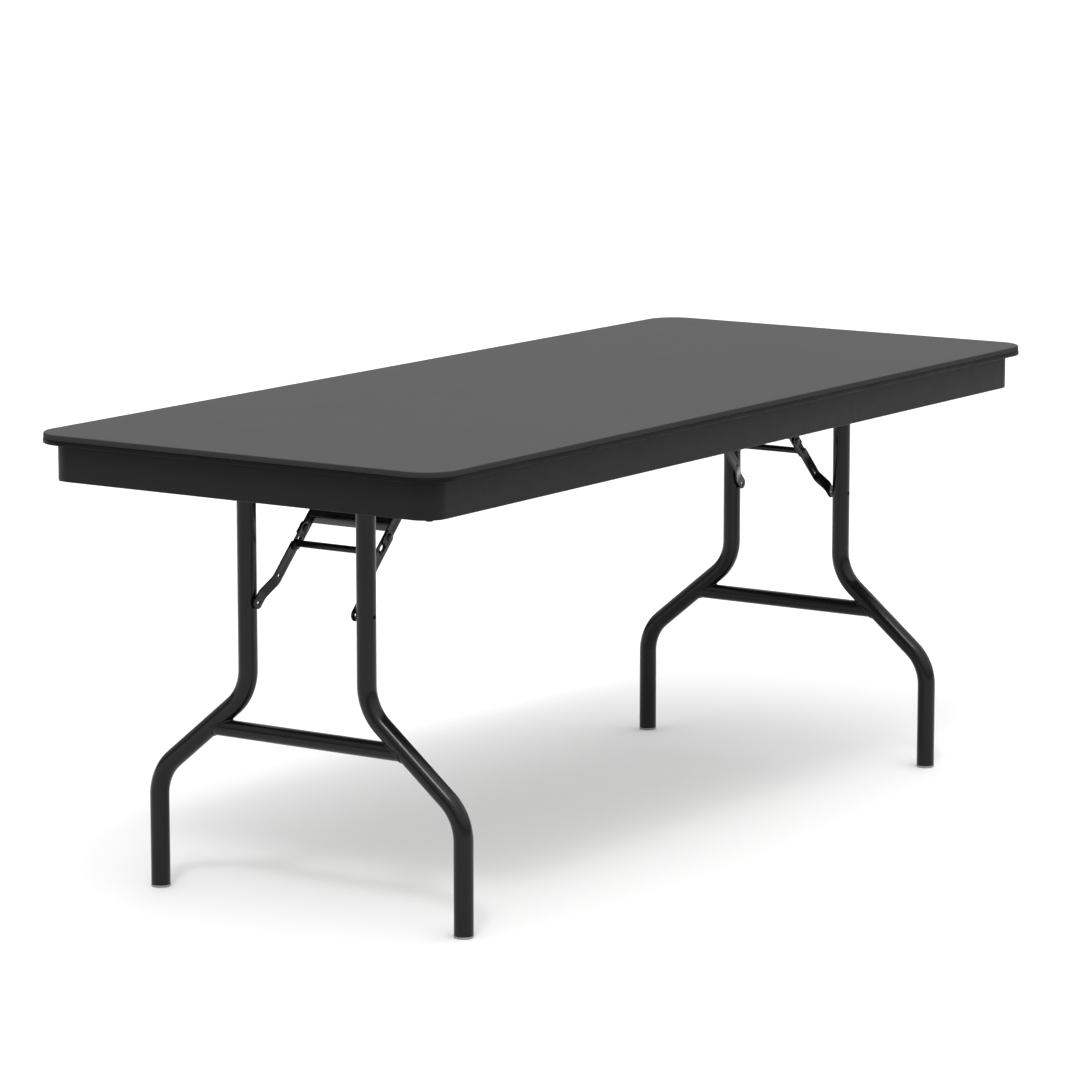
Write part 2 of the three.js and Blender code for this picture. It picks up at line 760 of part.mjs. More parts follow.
// Names say the end and, for pieces in pairs, front (-Y) or back (+Y) of the whole table.
function makeEnd(end) {
  const group = new THREE.Group();
  const turnedRound = end === 'right';
  const sideName = (side) => ((side < 0) === turnedRound ? 'back' : 'front');
  const folding = braceFrame();
  group.add(
    makeShaft(`${end}_pivot_shaft`),
    makeStretcher(`${end}_stretcher`),
    makeBraceBracket(`${end}_brace_bracket`),
    makeBraceRod(`${end}_brace_rod`),
    folding,
  );
  folding.add(makeUpperBrace(`${end}_upper_brace`), makeDropBar(`${end}_lock_bar`));
  for (const side of [-1, 1]) {
    const where = `${end}_${sideName(side)}`;
    group.add(
      makeLeg(side, `${where}_leg`),
      makeLegPivotSleeve(side, `${where}_leg_pivot_sleeve`),
      makeGlide(side, `${where}_glide`),
      makeHingeBracket(side, `${where}_hinge_bracket`),
      makeBush(side, `${where}_hinge_bush`),
    );
    folding.add(
      makeLowerArm(side, `${where}_lower_arm`),
      makeKneeRivet(side, `${where}_knee_rivet`),
    );
    hingeScrewPlaces(side).forEach((place, index) => {
      group.add(makeScrew(place, `${where}_hinge_screw_${index + 1}`));
    });
  }
  braceScrewPlaces().forEach((place, index) => {
    const where = sideName(index === 0 ? -1 : 1);
    group.add(makeScrew(place, `${end}_${where}_brace_screw`));
  });
  if (turnedRound) group.rotation.z = Math.PI;
  return group;
}

function allScrewPlaces() {
  const left = [...hingeScrewPlaces(-1), ...hingeScrewPlaces(1), ...braceScrewPlaces()];
  return [...left, ...left.map(({ x, y }) => ({ x: -x, y: -y }))];
}

// ---------------------------------------------------------------- the table

const group = new THREE.Group();
group.name = 'folding_table';
group.add(makeTopPanel(), makeEdgeBand(), makeCoreBoard(allScrewPlaces()), makeApron());
group.add(...cornerPlaces().map(makeBumper));
group.add(makeEnd('left'), makeEnd('right'));

export default group;
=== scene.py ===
"""Looks of the folding table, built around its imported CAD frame.

+Z is up, X runs along the table and Y across it. The pieces are drawn in millimetres and
scaled to metres when they are placed. Each piece is drawn once, for the left end (-X) and, if
it comes in pairs, for the back (+Y). The front is its mirror image, and the right end is the
same turned half a turn about Z.
"""
import json
import math

import bmesh
import bpy
from mathutils import Matrix, Vector


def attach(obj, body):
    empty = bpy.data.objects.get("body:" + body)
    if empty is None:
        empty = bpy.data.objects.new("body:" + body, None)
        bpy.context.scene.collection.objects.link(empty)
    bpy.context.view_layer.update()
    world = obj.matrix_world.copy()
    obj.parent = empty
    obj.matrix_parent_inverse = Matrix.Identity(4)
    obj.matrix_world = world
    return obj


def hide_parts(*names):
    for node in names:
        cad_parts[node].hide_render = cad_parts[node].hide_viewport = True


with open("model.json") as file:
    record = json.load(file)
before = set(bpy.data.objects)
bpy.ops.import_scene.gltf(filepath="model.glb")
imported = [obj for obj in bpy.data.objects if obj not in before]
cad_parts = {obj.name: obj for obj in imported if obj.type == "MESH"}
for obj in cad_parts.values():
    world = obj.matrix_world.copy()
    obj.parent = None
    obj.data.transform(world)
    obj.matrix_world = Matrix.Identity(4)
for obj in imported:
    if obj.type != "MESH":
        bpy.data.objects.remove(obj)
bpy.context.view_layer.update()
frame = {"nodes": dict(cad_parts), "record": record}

# ------------------------------------------------------------------ dimensions, millimetres

GAP = 0.3

TABLE_LENGTH = 1828.8
TABLE_WIDTH = 762
TABLE_HEIGHT = 740.7
TABLE_CORNER = 54.5
TOP_BOTTOM = 731.4
TOP_EDGE_RADIUS = 2.4
TOP_SIDE_SHADE_END = 1.3  # below the face, where the painted shade on the side begins to fade
TOP_SIDE_SHADE_FADE = 0.8

BAND_BOTTOM = 723.9
BAND_TOP = 731.1
BAND_PROUD = 0.7
BAND_WIDTH = 26
BAND_EDGE_RADIUS = 1.6

APRON_INSET_X = 19.6
APRON_INSET_Y = 21.9
APRON_BOTTOM = 665.5
APRON_TOP = 723.6
APRON_CORNER = 37
APRON_SHEET = 2
APRON_BOTTOM_FLANGE = 11
APRON_TOP_FLANGE = 16

PAD_RADIUS = 5.5
PAD_HEAD = 1
PAD_STEM_RADIUS = 3.6
PAD_STEM = 5
PAD_INSET = 6.2

LEG_X = -719
PIVOT_Z = 680.2
LEG_TOP = 700.2
UPRIGHT_Y = 113.2
FOOT_Y = 291.1
UPPER_BEND_Z = 332
LOWER_BEND_Z = 185.3
LEG_BEND_RADIUS = 80.4
LEG_RADIUS = 15.25
LEG_WALL = 1.4

SLEEVE_WALL = 1.2

SHAFT_RADIUS = 9.5
SHAFT_WALL = 1.5
SHAFT_REACH = 139
SHAFT_WELD = 1.3

STRETCHER_Z = 271
STRETCHER_RADIUS = 13.5
STRETCHER_WALL = 1.3
STRETCHER_WELD = 1.9

GLIDE_HEIGHT = 3.6
GLIDE_PLUG = 24
GLIDE_EDGE = 0.8
GLIDE_RIB = 0.8
GLIDE_RIB_START = 6
GLIDE_RIB_STEP = 4

BRACE_ANGLE = math.radians(45)
LEG_PIVOT_Z = 475.4
LOWER_LENGTH = 147
UPPER_LENGTH = 156.5
BRACE_WIDTH = 20
BRACE_SHEET = 2.5
PIN_RADIUS = 4
UPPER_ARM_Y = 77.4  # inner faces
LOWER_ARM_Y = 80.1
BRACKET_CLEARANCE = 0.6  # between the brace bracket's ears and the arms
WEB_CLEARANCE = 0.1
BAR_CLEARANCE = 0.4
JOGGLE = 11.3
JOGGLE_START = 102
JOGGLE_END = 130
JOGGLE_BLEND = 5  # length of the curve at each end of the step
SLOT_Z = 1
SLOT_NEAR = 20
SLOT_FAR = 31
SLOT_RADIUS = 3.3
NOTCH_START = 16
NOTCH_END = 34.6
NOTCH_CORNER = 2
HEAD_RADIUS = 10.5
ARM_HOLE = 93
ARM_HOLE_RADIUS = 2.4
TAB_HOLE_RADIUS = 2.5
RIVET_HEAD = 6.5
RIVET_HEIGHT = 2.6
DIMPLE_RADIUS = 1.6
DIMPLE_DEPTH = 1.8
WEB_START = 16.5
WEB_END = 131.5
WEB_FLANGE = 7

BAR_RADIUS = 5.5
BAR_COLLAR = 7
BAR_COLLAR_WIDTH = 2
BAR_NECK = 2.9
BAR_REACH = 83.6

PLATE_BOTTOM = 721.5
PLATE_SHEET = 2.5
PLATE_CORNER = 5
HINGE_PLATE_LENGTH = 92
HINGE_EAR_WIDTH = 46
HINGE_EYE_RADIUS = 16
HINGE_SIDE_GAP = 2  # between the leg and each ear
BRACE_PLATE_LENGTH = 46
BRACE_EAR_WIDTH = 26
BRACE_EYE_RADIUS = 9.5
ROD_HEAD = 6.5
ROD_HEAD_HEIGHT = 2

BUSH_WALL = 1.3
BUSH_FLANGE = 1.6
BUSH_FLANGE_RADIUS = 14

SCREW_SPACING = 72  # between the two screws of a hinge bracket
BRACE_SCREW_X = 12  # from the brace's pivot
BRACE_SCREW_Y = 46
SCREW_HOLE = 2.6
SCREW_RADIUS = 2.2
SCREW_HEAD = 4.6
SCREW_CROWN = 2.4  # flat middle of the head
RECESS_WIDTH = 0.9
RECESS_DEPTH = 4
SCREW_HEAD_HEIGHT = 2.3
SCREW_LENGTH = 8.8

CORNER_STEPS = 20
TUBE_SIDES = 56
PIN_SIDES = 40
SMALL_SIDES = 32
WELD_STEPS = 72
BEAD_SIDES = 10
BEND_STEPS = 24
FOLD_STEPS = 6
EDGE_BREAK = 0.35
SMOOTH_ANGLE = 38  # degrees between faces that are shaded as one surface
BROAD_SMOOTH_ANGLE = 60

KNEE = Vector((
    LEG_X + LOWER_LENGTH * math.cos(BRACE_ANGLE), 0,
    LEG_PIVOT_Z + LOWER_LENGTH * math.sin(BRACE_ANGLE)))
BRACE_TOP = KNEE + UPPER_LENGTH * Vector((math.cos(BRACE_ANGLE), 0, math.sin(BRACE_ANGLE)))
PLATE_MIDDLE = PLATE_BOTTOM + PLATE_SHEET / 2

MILLIMETRE = 0.001

# ------------------------------------------------------------------ camera and light

CAMERA_PLACE = Vector((-6.1498, -4.0532, 1.72476))  # metres
CAMERA_YAW = 0.5884  # radians, like the pitch
CAMERA_PITCH = -0.1673
CAMERA_LENS = 150.01
CAMERA_SENSOR = 36
FLOOR_RADIUS = 60  # metres

SKY_HORIZON = 0.25  # how bright the walls are at the horizon
SKY_HIGH = 1.12
SKY_HIGH_AT = 0.4  # sine of the elevation where they reach that
SKY_SIDE = (0.54, -0.84, 0.0)  # the brighter side of the room
SKY_SIDE_GAIN = 0.35
KEY_FROM = (-0.39, -0.31, 1.0)
KEY_STRENGTH = 2.1
KEY_FOCUS = 9  # power of the cosine from the key light's middle
LAMP_FROM = (-0.57, -0.24, 0.785)
LAMP_STRENGTH = 42
LAMP_FOCUS = 350  # the higher, the smaller the lamp

# ------------------------------------------------------------------ meshes from rings


def mesh_of_rings(rings, closed=False, cap_start=False, cap_end=False):
    """Quads between rings that all have as many points. closed joins the last to the first."""
    bm = bmesh.new()
    loops = [[bm.verts.new(point) for point in ring] for ring in rings]
    pairs = list(zip(loops, loops[1:]))
    if closed:
        pairs.append((loops[-1], loops[0]))
    for low, high in pairs:
        for i in range(len(low)):
            j = (i + 1) % len(low)
            bm.faces.new((low[i], low[j], high[j], high[i]))
    if cap_start:
        bm.faces.new(list(reversed(loops[0])))
    if cap_end:
        bm.faces.new(loops[-1])
    bmesh.ops.recalc_face_normals(bm, faces=bm.faces)
    return bm


def arc(centre, radius, start, end, steps):
    """Points on an arc in a plane, as pairs; the angles are in degrees."""
    angles = [math.radians(start + (end - start) * i / steps) for i in range(steps + 1)]
    return [
        (centre[0] + radius * math.cos(a), centre[1] + radius * math.sin(a)) for a in angles
    ]


def rounded_rectangle(length, width, radius, inset, z):
    """A ring round a rectangle with rounded corners, moved inward by inset."""
    x, y = length / 2 - radius, width / 2 - radius
    ring = []
    for cx, cy, start in ((x, y, 0), (-x, y, 90), (-x, -y, 180), (x, -y, 270)):
        ring += arc((cx, cy), radius - inset, start, start + 90, CORNER_STEPS)
    return [(px, py, z) for px, py in ring]


def table_ring(inset, z):
    return rounded_rectangle(TABLE_LENGTH, TABLE_WIDTH, TABLE_CORNER, inset, z)


def apron_ring(inset, z):
    length = TABLE_LENGTH - 2 * APRON_INSET_X
    width = TABLE_WIDTH - 2 * APRON_INSET_Y
    return rounded_rectangle(length, width, APRON_CORNER, inset, z)


def turned(profile, sides=TUBE_SIDES):
    """A piece turned about the Y axis, from pairs of radius and y. Radius 0 closes an end."""
    open_profile = [(r, y) for r, y in profile if r > 0]
    rings = [
        [
            (r * math.cos(2 * math.pi * i / sides), y, r * math.sin(2 * math.pi * i / sides))
            for i in range(sides)
        ]
        for r, y in open_profile
    ]
    starts_closed = profile[0][0] == 0
    ends_closed = profile[-1][0] == 0
    closed = not (starts_closed or ends_closed)
    return mesh_of_rings(rings, closed, starts_closed, ends_closed)


def turned_upright(profile, sides=TUBE_SIDES):
    """The same turned about the Z axis, from pairs of radius and z."""
    bm = turned(profile, sides)
    return moved(bm, Matrix.Rotation(math.pi / 2, 4, "X"))


def moved(bm, matrix):
    bmesh.ops.transform(bm, matrix=matrix, verts=bm.verts)
    return bm


def shifted(bm, x=0, y=0, z=0):
    return moved(bm, Matrix.Translation((x, y, z)))


def joined(*parts):
    """One bmesh holding all the parts; the parts are used up."""
    whole = bmesh.new()
    for part in parts:
        mesh = bpy.data.meshes.new("part")
        part.to_mesh(mesh)
        part.free()
        whole.from_mesh(mesh)
        bpy.data.meshes.remove(mesh)
    return whole


def cut(bm, cutter):
    """bm with the cutter's space taken out of it."""
    objects = []
    for part in (bm, cutter):
        mesh = bpy.data.meshes.new("part")
        part.to_mesh(mesh)
        part.free()
        objects.append(bpy.data.objects.new("part", mesh))
        bpy.context.scene.collection.objects.link(objects[-1])
    body, tool = objects
    modifier = body.modifiers.new("cut", "BOOLEAN")
    modifier.operation = "DIFFERENCE"
    modifier.solver = "EXACT"
    modifier.object = tool
    result = bmesh.new()
    result.from_object(body, bpy.context.evaluated_depsgraph_get())
    for thing in objects:
        mesh = thing.data
        bpy.data.objects.remove(thing)
        bpy.data.meshes.remove(mesh)
    return result


# ------------------------------------------------------------------ tubes


def bent_path(corners, radius):
    """Points and directions along straight runs whose corners are rounded."""
    path = []
    start = corners[0]
    for before, corner, after in zip(corners, corners[1:], corners[2:]):
        back = (before - corner).normalized()
        ahead = (after - corner).normalized()
        half = back.angle(ahead) / 2
        centre = corner + (back + ahead).normalized() * radius / math.sin(half)
        entry = corner + back * radius / math.tan(half)
        path += straight_run(start, entry, -back)
        turn_axis = ahead.cross(back).normalized()
        turn = math.pi - 2 * half
        for step in range(1, BEND_STEPS):
            rotation = Matrix.Rotation(turn * step / BEND_STEPS, 3, turn_axis)
            path.append((centre + rotation @ (entry - centre), rotation @ -back))
        start = corner + ahead * radius / math.tan(half)
    path += straight_run(start, corners[-1], (corners[-1] - corners[-2]).normalized())
    return path


def straight_run(start, end, direction, spacing=24):
    steps = max(1, round((end - start).length / spacing))
    return [(start.lerp(end, i / steps), direction) for i in range(steps + 1)]


def rings_along(path, radius):
    """Circles square to a path that lies in a plane of constant X."""
    rings = []
    for point, direction in path:
        side = Vector((1, 0, 0))
        other = direction.cross(side)
        angles = [2 * math.pi * i / TUBE_SIDES for i in range(TUBE_SIDES)]
        rings.append([
            point + radius * (math.cos(a) * side + math.sin(a) * other) for a in angles
        ])
    return rings


def tube(path, radius, wall):
    """A hollow tube whose ends have slightly broken edges."""
    outside = rings_along(path, radius)
    inside = rings_along(path, radius - wall)
    ends = []
    for index, inward in ((0, 1), (-1, -1)):
        point, direction = path[index]
        ends.append((point, direction))
        moved_in = (point + inward * EDGE_BREAK * direction, direction)
        outside[index] = rings_along([moved_in], radius)[0]
    first, last = (rings_along([end], radius - EDGE_BREAK)[0] for end in ends)
    return mesh_of_rings([first] + outside + [last] + inside[::-1], closed=True)


def bead(points, radius, ripple=0.12):
    """A weld bead along a closed line of points, with the ripples of its weld pool."""
    count = len(points)
    centre = sum(points, Vector()) / count
    rings = []
    for i, point in enumerate(points):
        direction = (points[(i + 1) % count] - points[i - 1]).normalized()
        outward = point - centre
        outward = (outward - outward.dot(direction) * direction).normalized()
        other = direction.cross(outward)
        size = radius * (1 + ripple * (-1) ** i)
        rings.append([
            point + size * (math.cos(a) * outward + math.sin(a) * other)
            for a in (2 * math.pi * k / BEAD_SIDES for k in range(BEAD_SIDES))
        ])
    return mesh_of_rings(rings, closed=True)


# ------------------------------------------------------------------ sheet metal


def moved_inward(loop, distance):
    """A closed line of pairs moved to its left by a distance, with mitred corners."""
    result = []
    count = len(loop)
    for i in range(count):
        before = Vector(loop[i]) - Vector(loop[i - 1])
        after = Vector(loop[(i + 1) % count]) - Vector(loop[i])
        first = Vector((-before.y, before.x)).normalized()
        second = Vector((-after.y, after.x)).normalized()
        both = (first + second).normalized()
        reach = distance / max(0.5, both.dot(first))
        result.append(tuple(Vector(loop[i]) + reach * both))
    return result


def plate(outline, holes, thickness, edge=EDGE_BREAK):
    """A flat plate in X and Y with rounded edges, its middle at z = 0.

    The outline runs anticlockwise and the holes clockwise.
    """
    half = thickness / 2
    steps = 3
    quarter = [i * math.pi / (2 * steps) for i in range(steps + 1)]
    section = [(edge * (1 - math.cos(a)), half - edge * (1 - math.sin(a))) for a in quarter]
    section = [(inset, -z) for inset, z in section[::-1]] + section
    bm = bmesh.new()
    faces_at = {0: [], len(section) - 1: []}
    for loop in [outline, *holes]:
        rings = []
        for inset, z in section:
            ring = moved_inward(loop, inset) if inset > 0 else loop
            rings.append([bm.verts.new((x, y, z)) for x, y in ring])
        for low, high in zip(rings, rings[1:]):
            for i in range(len(low)):
                j = (i + 1) % len(low)
                bm.faces.new((low[i], low[j], high[j], high[i]))
        for end in faces_at:
            ring = rings[end]
            for i in range(len(ring)):
                faces_at[end].append(bm.edges.get((ring[i - 1], ring[i])))
    for edges in faces_at.values():
        bmesh.ops.triangle_fill(bm, edges=edges, use_beauty=True)
    bmesh.ops.recalc_face_normals(bm, faces=bm.faces)
    return bm


def sliced(bm, axis, place):
    """bm with an edge wherever it crosses the plane at that place."""
    normal = Vector((0, 0, 0))
    normal[axis] = 1
    geometry = bm.verts[:] + bm.edges[:] + bm.faces[:]
    bmesh.ops.bisect_plane(bm, geom=geometry, plane_co=normal * place, plane_no=normal)
    return bm


def folded(bm, axis, start, angle, radius, thickness, way=1, chosen=lambda point: True):
    """Bends what lies beyond start, along an axis, up (or down if the angle is negative)."""
    up = 1 if angle > 0 else -1
    turn = abs(angle)
    middle = radius + thickness / 2
    length = middle * turn
    for step in range(FOLD_STEPS + 1):
        sliced(bm, axis, way * (start + length * step / FOLD_STEPS))
    for vertex in bm.verts:
        run = way * vertex.co[axis] - start
        if run <= 0 or not chosen(vertex.co):
            continue
        here = min(run / length, 1) * turn
        beyond = max(run - length, 0)
        lift = middle - up * vertex.co.z
        vertex.co[axis] = way * (start + lift * math.sin(here) + beyond * math.cos(here))
        vertex.co.z = up * (middle - lift * math.cos(here) + beyond * math.sin(here))
    return bm


def circle(x, y, radius, steps=PIN_SIDES):
    """A hole's outline, clockwise."""
    return arc((x, y), radius, 360, 0, steps)[:-1]


def stadium(from_x, to_x, y, radius, steps=20):
    """Two half circles and the straight sides between them, anticlockwise."""
    return arc((to_x, y), radius, -90, 90, steps) + arc((from_x, y), radius, 90, 270, steps)


# ------------------------------------------------------------------ tabletop


def make_top():
    side = TABLE_HEIGHT - TOP_EDGE_RADIUS
    profile = [(EDGE_BREAK, TOP_BOTTOM), (0, TOP_BOTTOM + EDGE_BREAK)]
    profile += [
        (TOP_EDGE_RADIUS - dx, side + dz)
        for dx, dz in arc((0, 0), TOP_EDGE_RADIUS, 0, 90, 8)
    ]
    rings = [table_ring(inset, z) for inset, z in profile]
    return mesh_of_rings(rings, cap_start=True, cap_end=True)


def make_band():
    """The edge band under the top: round where it stands out, square inside."""
    r = BAND_EDGE_RADIUS
    lower = arc((r - BAND_PROUD, BAND_BOTTOM + r), r, 270, 180, 6)
    upper = arc((r - BAND_PROUD, BAND_TOP - r), r, 180, 90, 6)
    profile = lower + upper + [(BAND_WIDTH, BAND_TOP), (BAND_WIDTH, BAND_BOTTOM)]
    return mesh_of_rings([table_ring(inset, z) for inset, z in profile], closed=True)


def make_apron():
    """Bent sheet with a flange turned in at its top and at its bottom."""
    outer, inner, sheet = 2, 0.5, APRON_SHEET
    profile = [(APRON_BOTTOM_FLANGE, APRON_BOTTOM)]
    profile += arc((outer, APRON_BOTTOM + outer), outer, 270, 180, 6)
    profile += arc((outer, APRON_TOP - outer), outer, 180, 90, 6)
    profile += [(APRON_TOP_FLANGE, APRON_TOP), (APRON_TOP_FLANGE, APRON_TOP - sheet)]
    profile += arc((sheet + inner, APRON_TOP - sheet - inner), inner, 90, 180, 3)
    profile += arc((sheet + inner, APRON_BOTTOM + sheet + inner), inner, 180, 270, 3)
    profile += [(APRON_BOTTOM_FLANGE, APRON_BOTTOM + sheet)]
    return mesh_of_rings([apron_ring(inset, z) for inset, z in profile], closed=True)


def make_pad():
    """Stacking pad, drawn with its stem's axis at the origin."""
    bottom = APRON_BOTTOM - GAP - PAD_HEAD
    edge = 0.5
    profile = [(0, bottom), (PAD_RADIUS - edge, bottom)]
    profile += arc((PAD_RADIUS - edge, bottom + edge), edge, -90, 0, 4)
    profile += [
        (PAD_RADIUS, bottom + PAD_HEAD),
        (PAD_STEM_RADIUS, bottom + PAD_HEAD),
        (PAD_STEM_RADIUS, bottom + PAD_HEAD + PAD_STEM),
        (0, bottom + PAD_HEAD + PAD_STEM),
    ]
    return turned_upright(profile, SMALL_SIDES)


# ------------------------------------------------------------------ leg frame


def leg_corners():
    return [
        Vector((LEG_X, FOOT_Y, GLIDE_HEIGHT + GAP)),
        Vector((LEG_X, FOOT_Y, LOWER_BEND_Z)),
        Vector((LEG_X, UPRIGHT_Y, UPPER_BEND_Z)),
        Vector((LEG_X, UPRIGHT_Y, LEG_TOP)),
    ]


def make_leg():
    leg = tube(bent_path(leg_corners(), LEG_BEND_RADIUS), LEG_RADIUS, LEG_WALL)
    reach = 2 * LEG_RADIUS
    holes = []
    for radius, z in ((SHAFT_RADIUS + GAP, PIVOT_Z), (PIN_RADIUS + GAP, LEG_PIVOT_Z)):
        hole = turned([(0, -reach), (radius, -reach), (radius, reach), (0, reach)], PIN_SIDES)
        holes.append(shifted(hole, LEG_X, UPRIGHT_Y, z))
    return joined(cut(leg, joined(*holes)), make_shaft_weld())


def make_shaft_weld():
    """Bead where the pivot shaft meets the inner side of the leg."""
    points = []
    for i in range(WELD_STEPS):
        angle = 2 * math.pi * i / WELD_STEPS
        x, z = SHAFT_RADIUS * math.cos(angle), SHAFT_RADIUS * math.sin(angle)
        y = UPRIGHT_Y - math.sqrt(LEG_RADIUS**2 - x**2)
        points.append(Vector((LEG_X + x, y, PIVOT_Z + z)))
    return bead(points, SHAFT_WELD)


def make_sleeve():
    near, far = UPRIGHT_Y - LEG_RADIUS + GAP, UPRIGHT_Y + LEG_RADIUS - GAP
    bore = PIN_RADIUS - SLEEVE_WALL
    lip = 0.3
    profile = [
        (bore, near + lip), (bore + lip, near), (PIN_RADIUS, near), (PIN_RADIUS, far),
        (bore + lip, far), (bore, far - lip),
    ]
    return shifted(turned(profile, SMALL_SIDES), LEG_X, 0, LEG_PIVOT_Z)


def make_shaft():
    bore = SHAFT_RADIUS - SHAFT_WALL
    end, edge = SHAFT_REACH, 0.4
    profile = [
        (bore, -end + edge), (bore + edge, -end), (SHAFT_RADIUS - edge, -end),
        (SHAFT_RADIUS, -end + edge), (SHAFT_RADIUS, end - edge), (SHAFT_RADIUS - edge, end),
        (bore + edge, end), (bore, end - edge),
    ]
    return shifted(turned(profile), LEG_X, 0, PIVOT_Z)


def cope_y(x, z):
    """How far out a point of the stretcher is where it meets the slanted stretch of the leg."""
    run = Vector((FOOT_Y - UPRIGHT_Y, LOWER_BEND_Z - UPPER_BEND_Z)).normalized()
    along_y = (LEG_RADIUS**2 - x**2) ** 0.5
    drop = z - UPPER_BEND_Z
    return UPRIGHT_Y + (drop * run.x + along_y) / run.y


def make_stretcher():
    """A tube coped to the legs' slanted stretches, with a weld bead round each end."""
    ends = []
    for radius in (STRETCHER_RADIUS, STRETCHER_RADIUS - STRETCHER_WALL):
        ring = []
        for i in range(WELD_STEPS):
            angle = 2 * math.pi * i / WELD_STEPS
            x, z = radius * math.cos(angle), radius * math.sin(angle)
            ring.append(Vector((LEG_X + x, cope_y(x, STRETCHER_Z + z) - GAP, STRETCHER_Z + z)))
        ends.append(ring)
    outer, inner = ends
    steps = 16
    rings = [mixed_ring(outer, i / steps) for i in range(steps + 1)]
    rings += [mixed_ring(inner, i / steps) for i in range(steps, -1, -1)]
    tube_mesh = mesh_of_rings(rings, closed=True)
    beads = [bead([point_across(p, way) for p in outer], STRETCHER_WELD) for way in (1, -1)]
    return joined(tube_mesh, *beads)


def mixed_ring(end_ring, share):
    """The ring a share of the way from the front end to the back end."""
    return [Vector((p.x, p.y * (2 * share - 1), p.z)) for p in end_ring]


def point_across(point, way):
    return Vector((point.x, point.y * way, point.z))


def make_glide():
    """Foot cap: a rounded tread under the tube and a ribbed plug inside it."""
    plug = LEG_RADIUS - LEG_WALL - GAP
    profile = [(0, 0)] + arc((LEG_RADIUS - GLIDE_EDGE, GLIDE_EDGE), GLIDE_EDGE, -90, 0, 5)
    profile += [(LEG_RADIUS, GLIDE_HEIGHT), (plug, GLIDE_HEIGHT)]
    root = plug - GLIDE_RIB
    for start in range(GLIDE_RIB_START, GLIDE_PLUG - 2, GLIDE_RIB_STEP):
        profile += [(root, start), (plug, start + 1), (root, start + 3)]
    profile += [(plug - 1, GLIDE_PLUG), (0, GLIDE_PLUG)]
    return shifted(turned_upright(profile), LEG_X, FOOT_Y, 0)


# ------------------------------------------------------------------ brackets under the top


def bracket(length, width, ear_width, eye_radius, eye_drop, eye_holes, screw_holes):
    """A plate with an ear folded down at each side, drawn flat with X along the ears.

    eye_drop is how far the eyes are below the middle of the plate's sheet. eye_holes are the
    radii of the holes at -Y and at +Y.
    """
    bend = 2
    middle = bend + PLATE_SHEET / 2
    start = width / 2 - PLATE_SHEET / 2 - middle
    eye_y = start + middle * math.pi / 2 + eye_drop - middle
    relief, relief_end = 1.6, start - 1
    corner = PLATE_CORNER
    x, ear_x, y = length / 2, ear_width / 2, width / 2
    half = arc((x - corner, y - corner), corner, 0, 90, 8)
    half += [(ear_x + relief, y), (ear_x + relief, relief_end), (ear_x, relief_end)]
    half += [(ear_x, start + middle * 2)]
    half += arc((0, eye_y), eye_radius, 0, 180, 28)
    half += [(-ear_x, start + middle * 2)]
    half += [(-ear_x, relief_end), (-ear_x - relief, relief_end), (-ear_x - relief, y)]
    half += arc((-x + corner, y - corner), corner, 90, 180, 8)
    outline = half + [(-px, -py) for px, py in half]
    holes = [circle(px, py, SCREW_HOLE, 24) for px, py in screw_holes]
    holes += [circle(0, way * eye_y, r) for way, r in zip((-1, 1), eye_holes)]
    bm = plate(outline, holes, PLATE_SHEET)
    for way in (-1, 1):
        folded(
            bm, 1, start, -math.pi / 2, bend, PLATE_SHEET, way,
            lambda point: abs(point.x) < ear_x + relief / 2)
    return bm


def make_hinge_bracket():
    inner_face = LEG_RADIUS + HINGE_SIDE_GAP
    screws = [(way * SCREW_SPACING / 2, 0) for way in (-1, 1)]
    holes = (SHAFT_RADIUS + GAP, SHAFT_RADIUS + 2 * GAP + BUSH_WALL)
    bm = bracket(
        HINGE_PLATE_LENGTH, 2 * (inner_face + PLATE_SHEET), HINGE_EAR_WIDTH, HINGE_EYE_RADIUS,
        PLATE_MIDDLE - PIVOT_Z, holes, screws)
    return shifted(bm, LEG_X, UPRIGHT_Y, PLATE_MIDDLE)


def make_bush():
    bore = SHAFT_RADIUS + GAP / 2
    near = UPRIGHT_Y + LEG_RADIUS + HINGE_SIDE_GAP
    face = near + PLATE_SHEET + GAP
    end = face + BUSH_FLANGE
    edge = 0.5
    profile = [(bore, near), (bore + BUSH_WALL, near), (bore + BUSH_WALL, face)]
    profile += [(BUSH_FLANGE_RADIUS, face)]
    profile += arc((BUSH_FLANGE_RADIUS - edge, end - edge), edge, 0, 90, 4)
    profile += [(bore + edge, end), (bore, end - edge)]
    return shifted(turned(profile), LEG_X, 0, PIVOT_Z)


def make_brace_bracket():
    outer = UPPER_ARM_Y - BRACKET_CLEARANCE
    screws = [(BRACE_SCREW_X, way * BRACE_SCREW_Y) for way in (-1, 1)]
    hole = PIN_RADIUS + GAP
    bm = bracket(
        BRACE_PLATE_LENGTH, 2 * outer, BRACE_EAR_WIDTH, BRACE_EYE_RADIUS,
        PLATE_MIDDLE - BRACE_TOP.z, (hole, hole), screws)
    return shifted(bm, BRACE_TOP.x, 0, PLATE_MIDDLE)


def dome(radius, height, steps=8):
    """Half the outline of a domed head: pairs of radius and height, from the rim inward."""
    return [
        (radius * math.cos(a), height * math.sin(a))
        for a in (math.pi / 2 * i / steps for i in range(steps + 1))
    ][:-1] + [(0, height)]


def make_brace_rod():
    face = UPPER_ARM_Y + BRACE_SHEET + GAP
    half = [(PIN_RADIUS, face)] + [(r, face + h) for r, h in dome(ROD_HEAD, ROD_HEAD_HEIGHT)]
    profile = [(r, -y) for r, y in reversed(half)] + half
    return shifted(turned(profile, PIN_SIDES), BRACE_TOP.x, 0, BRACE_TOP.z)


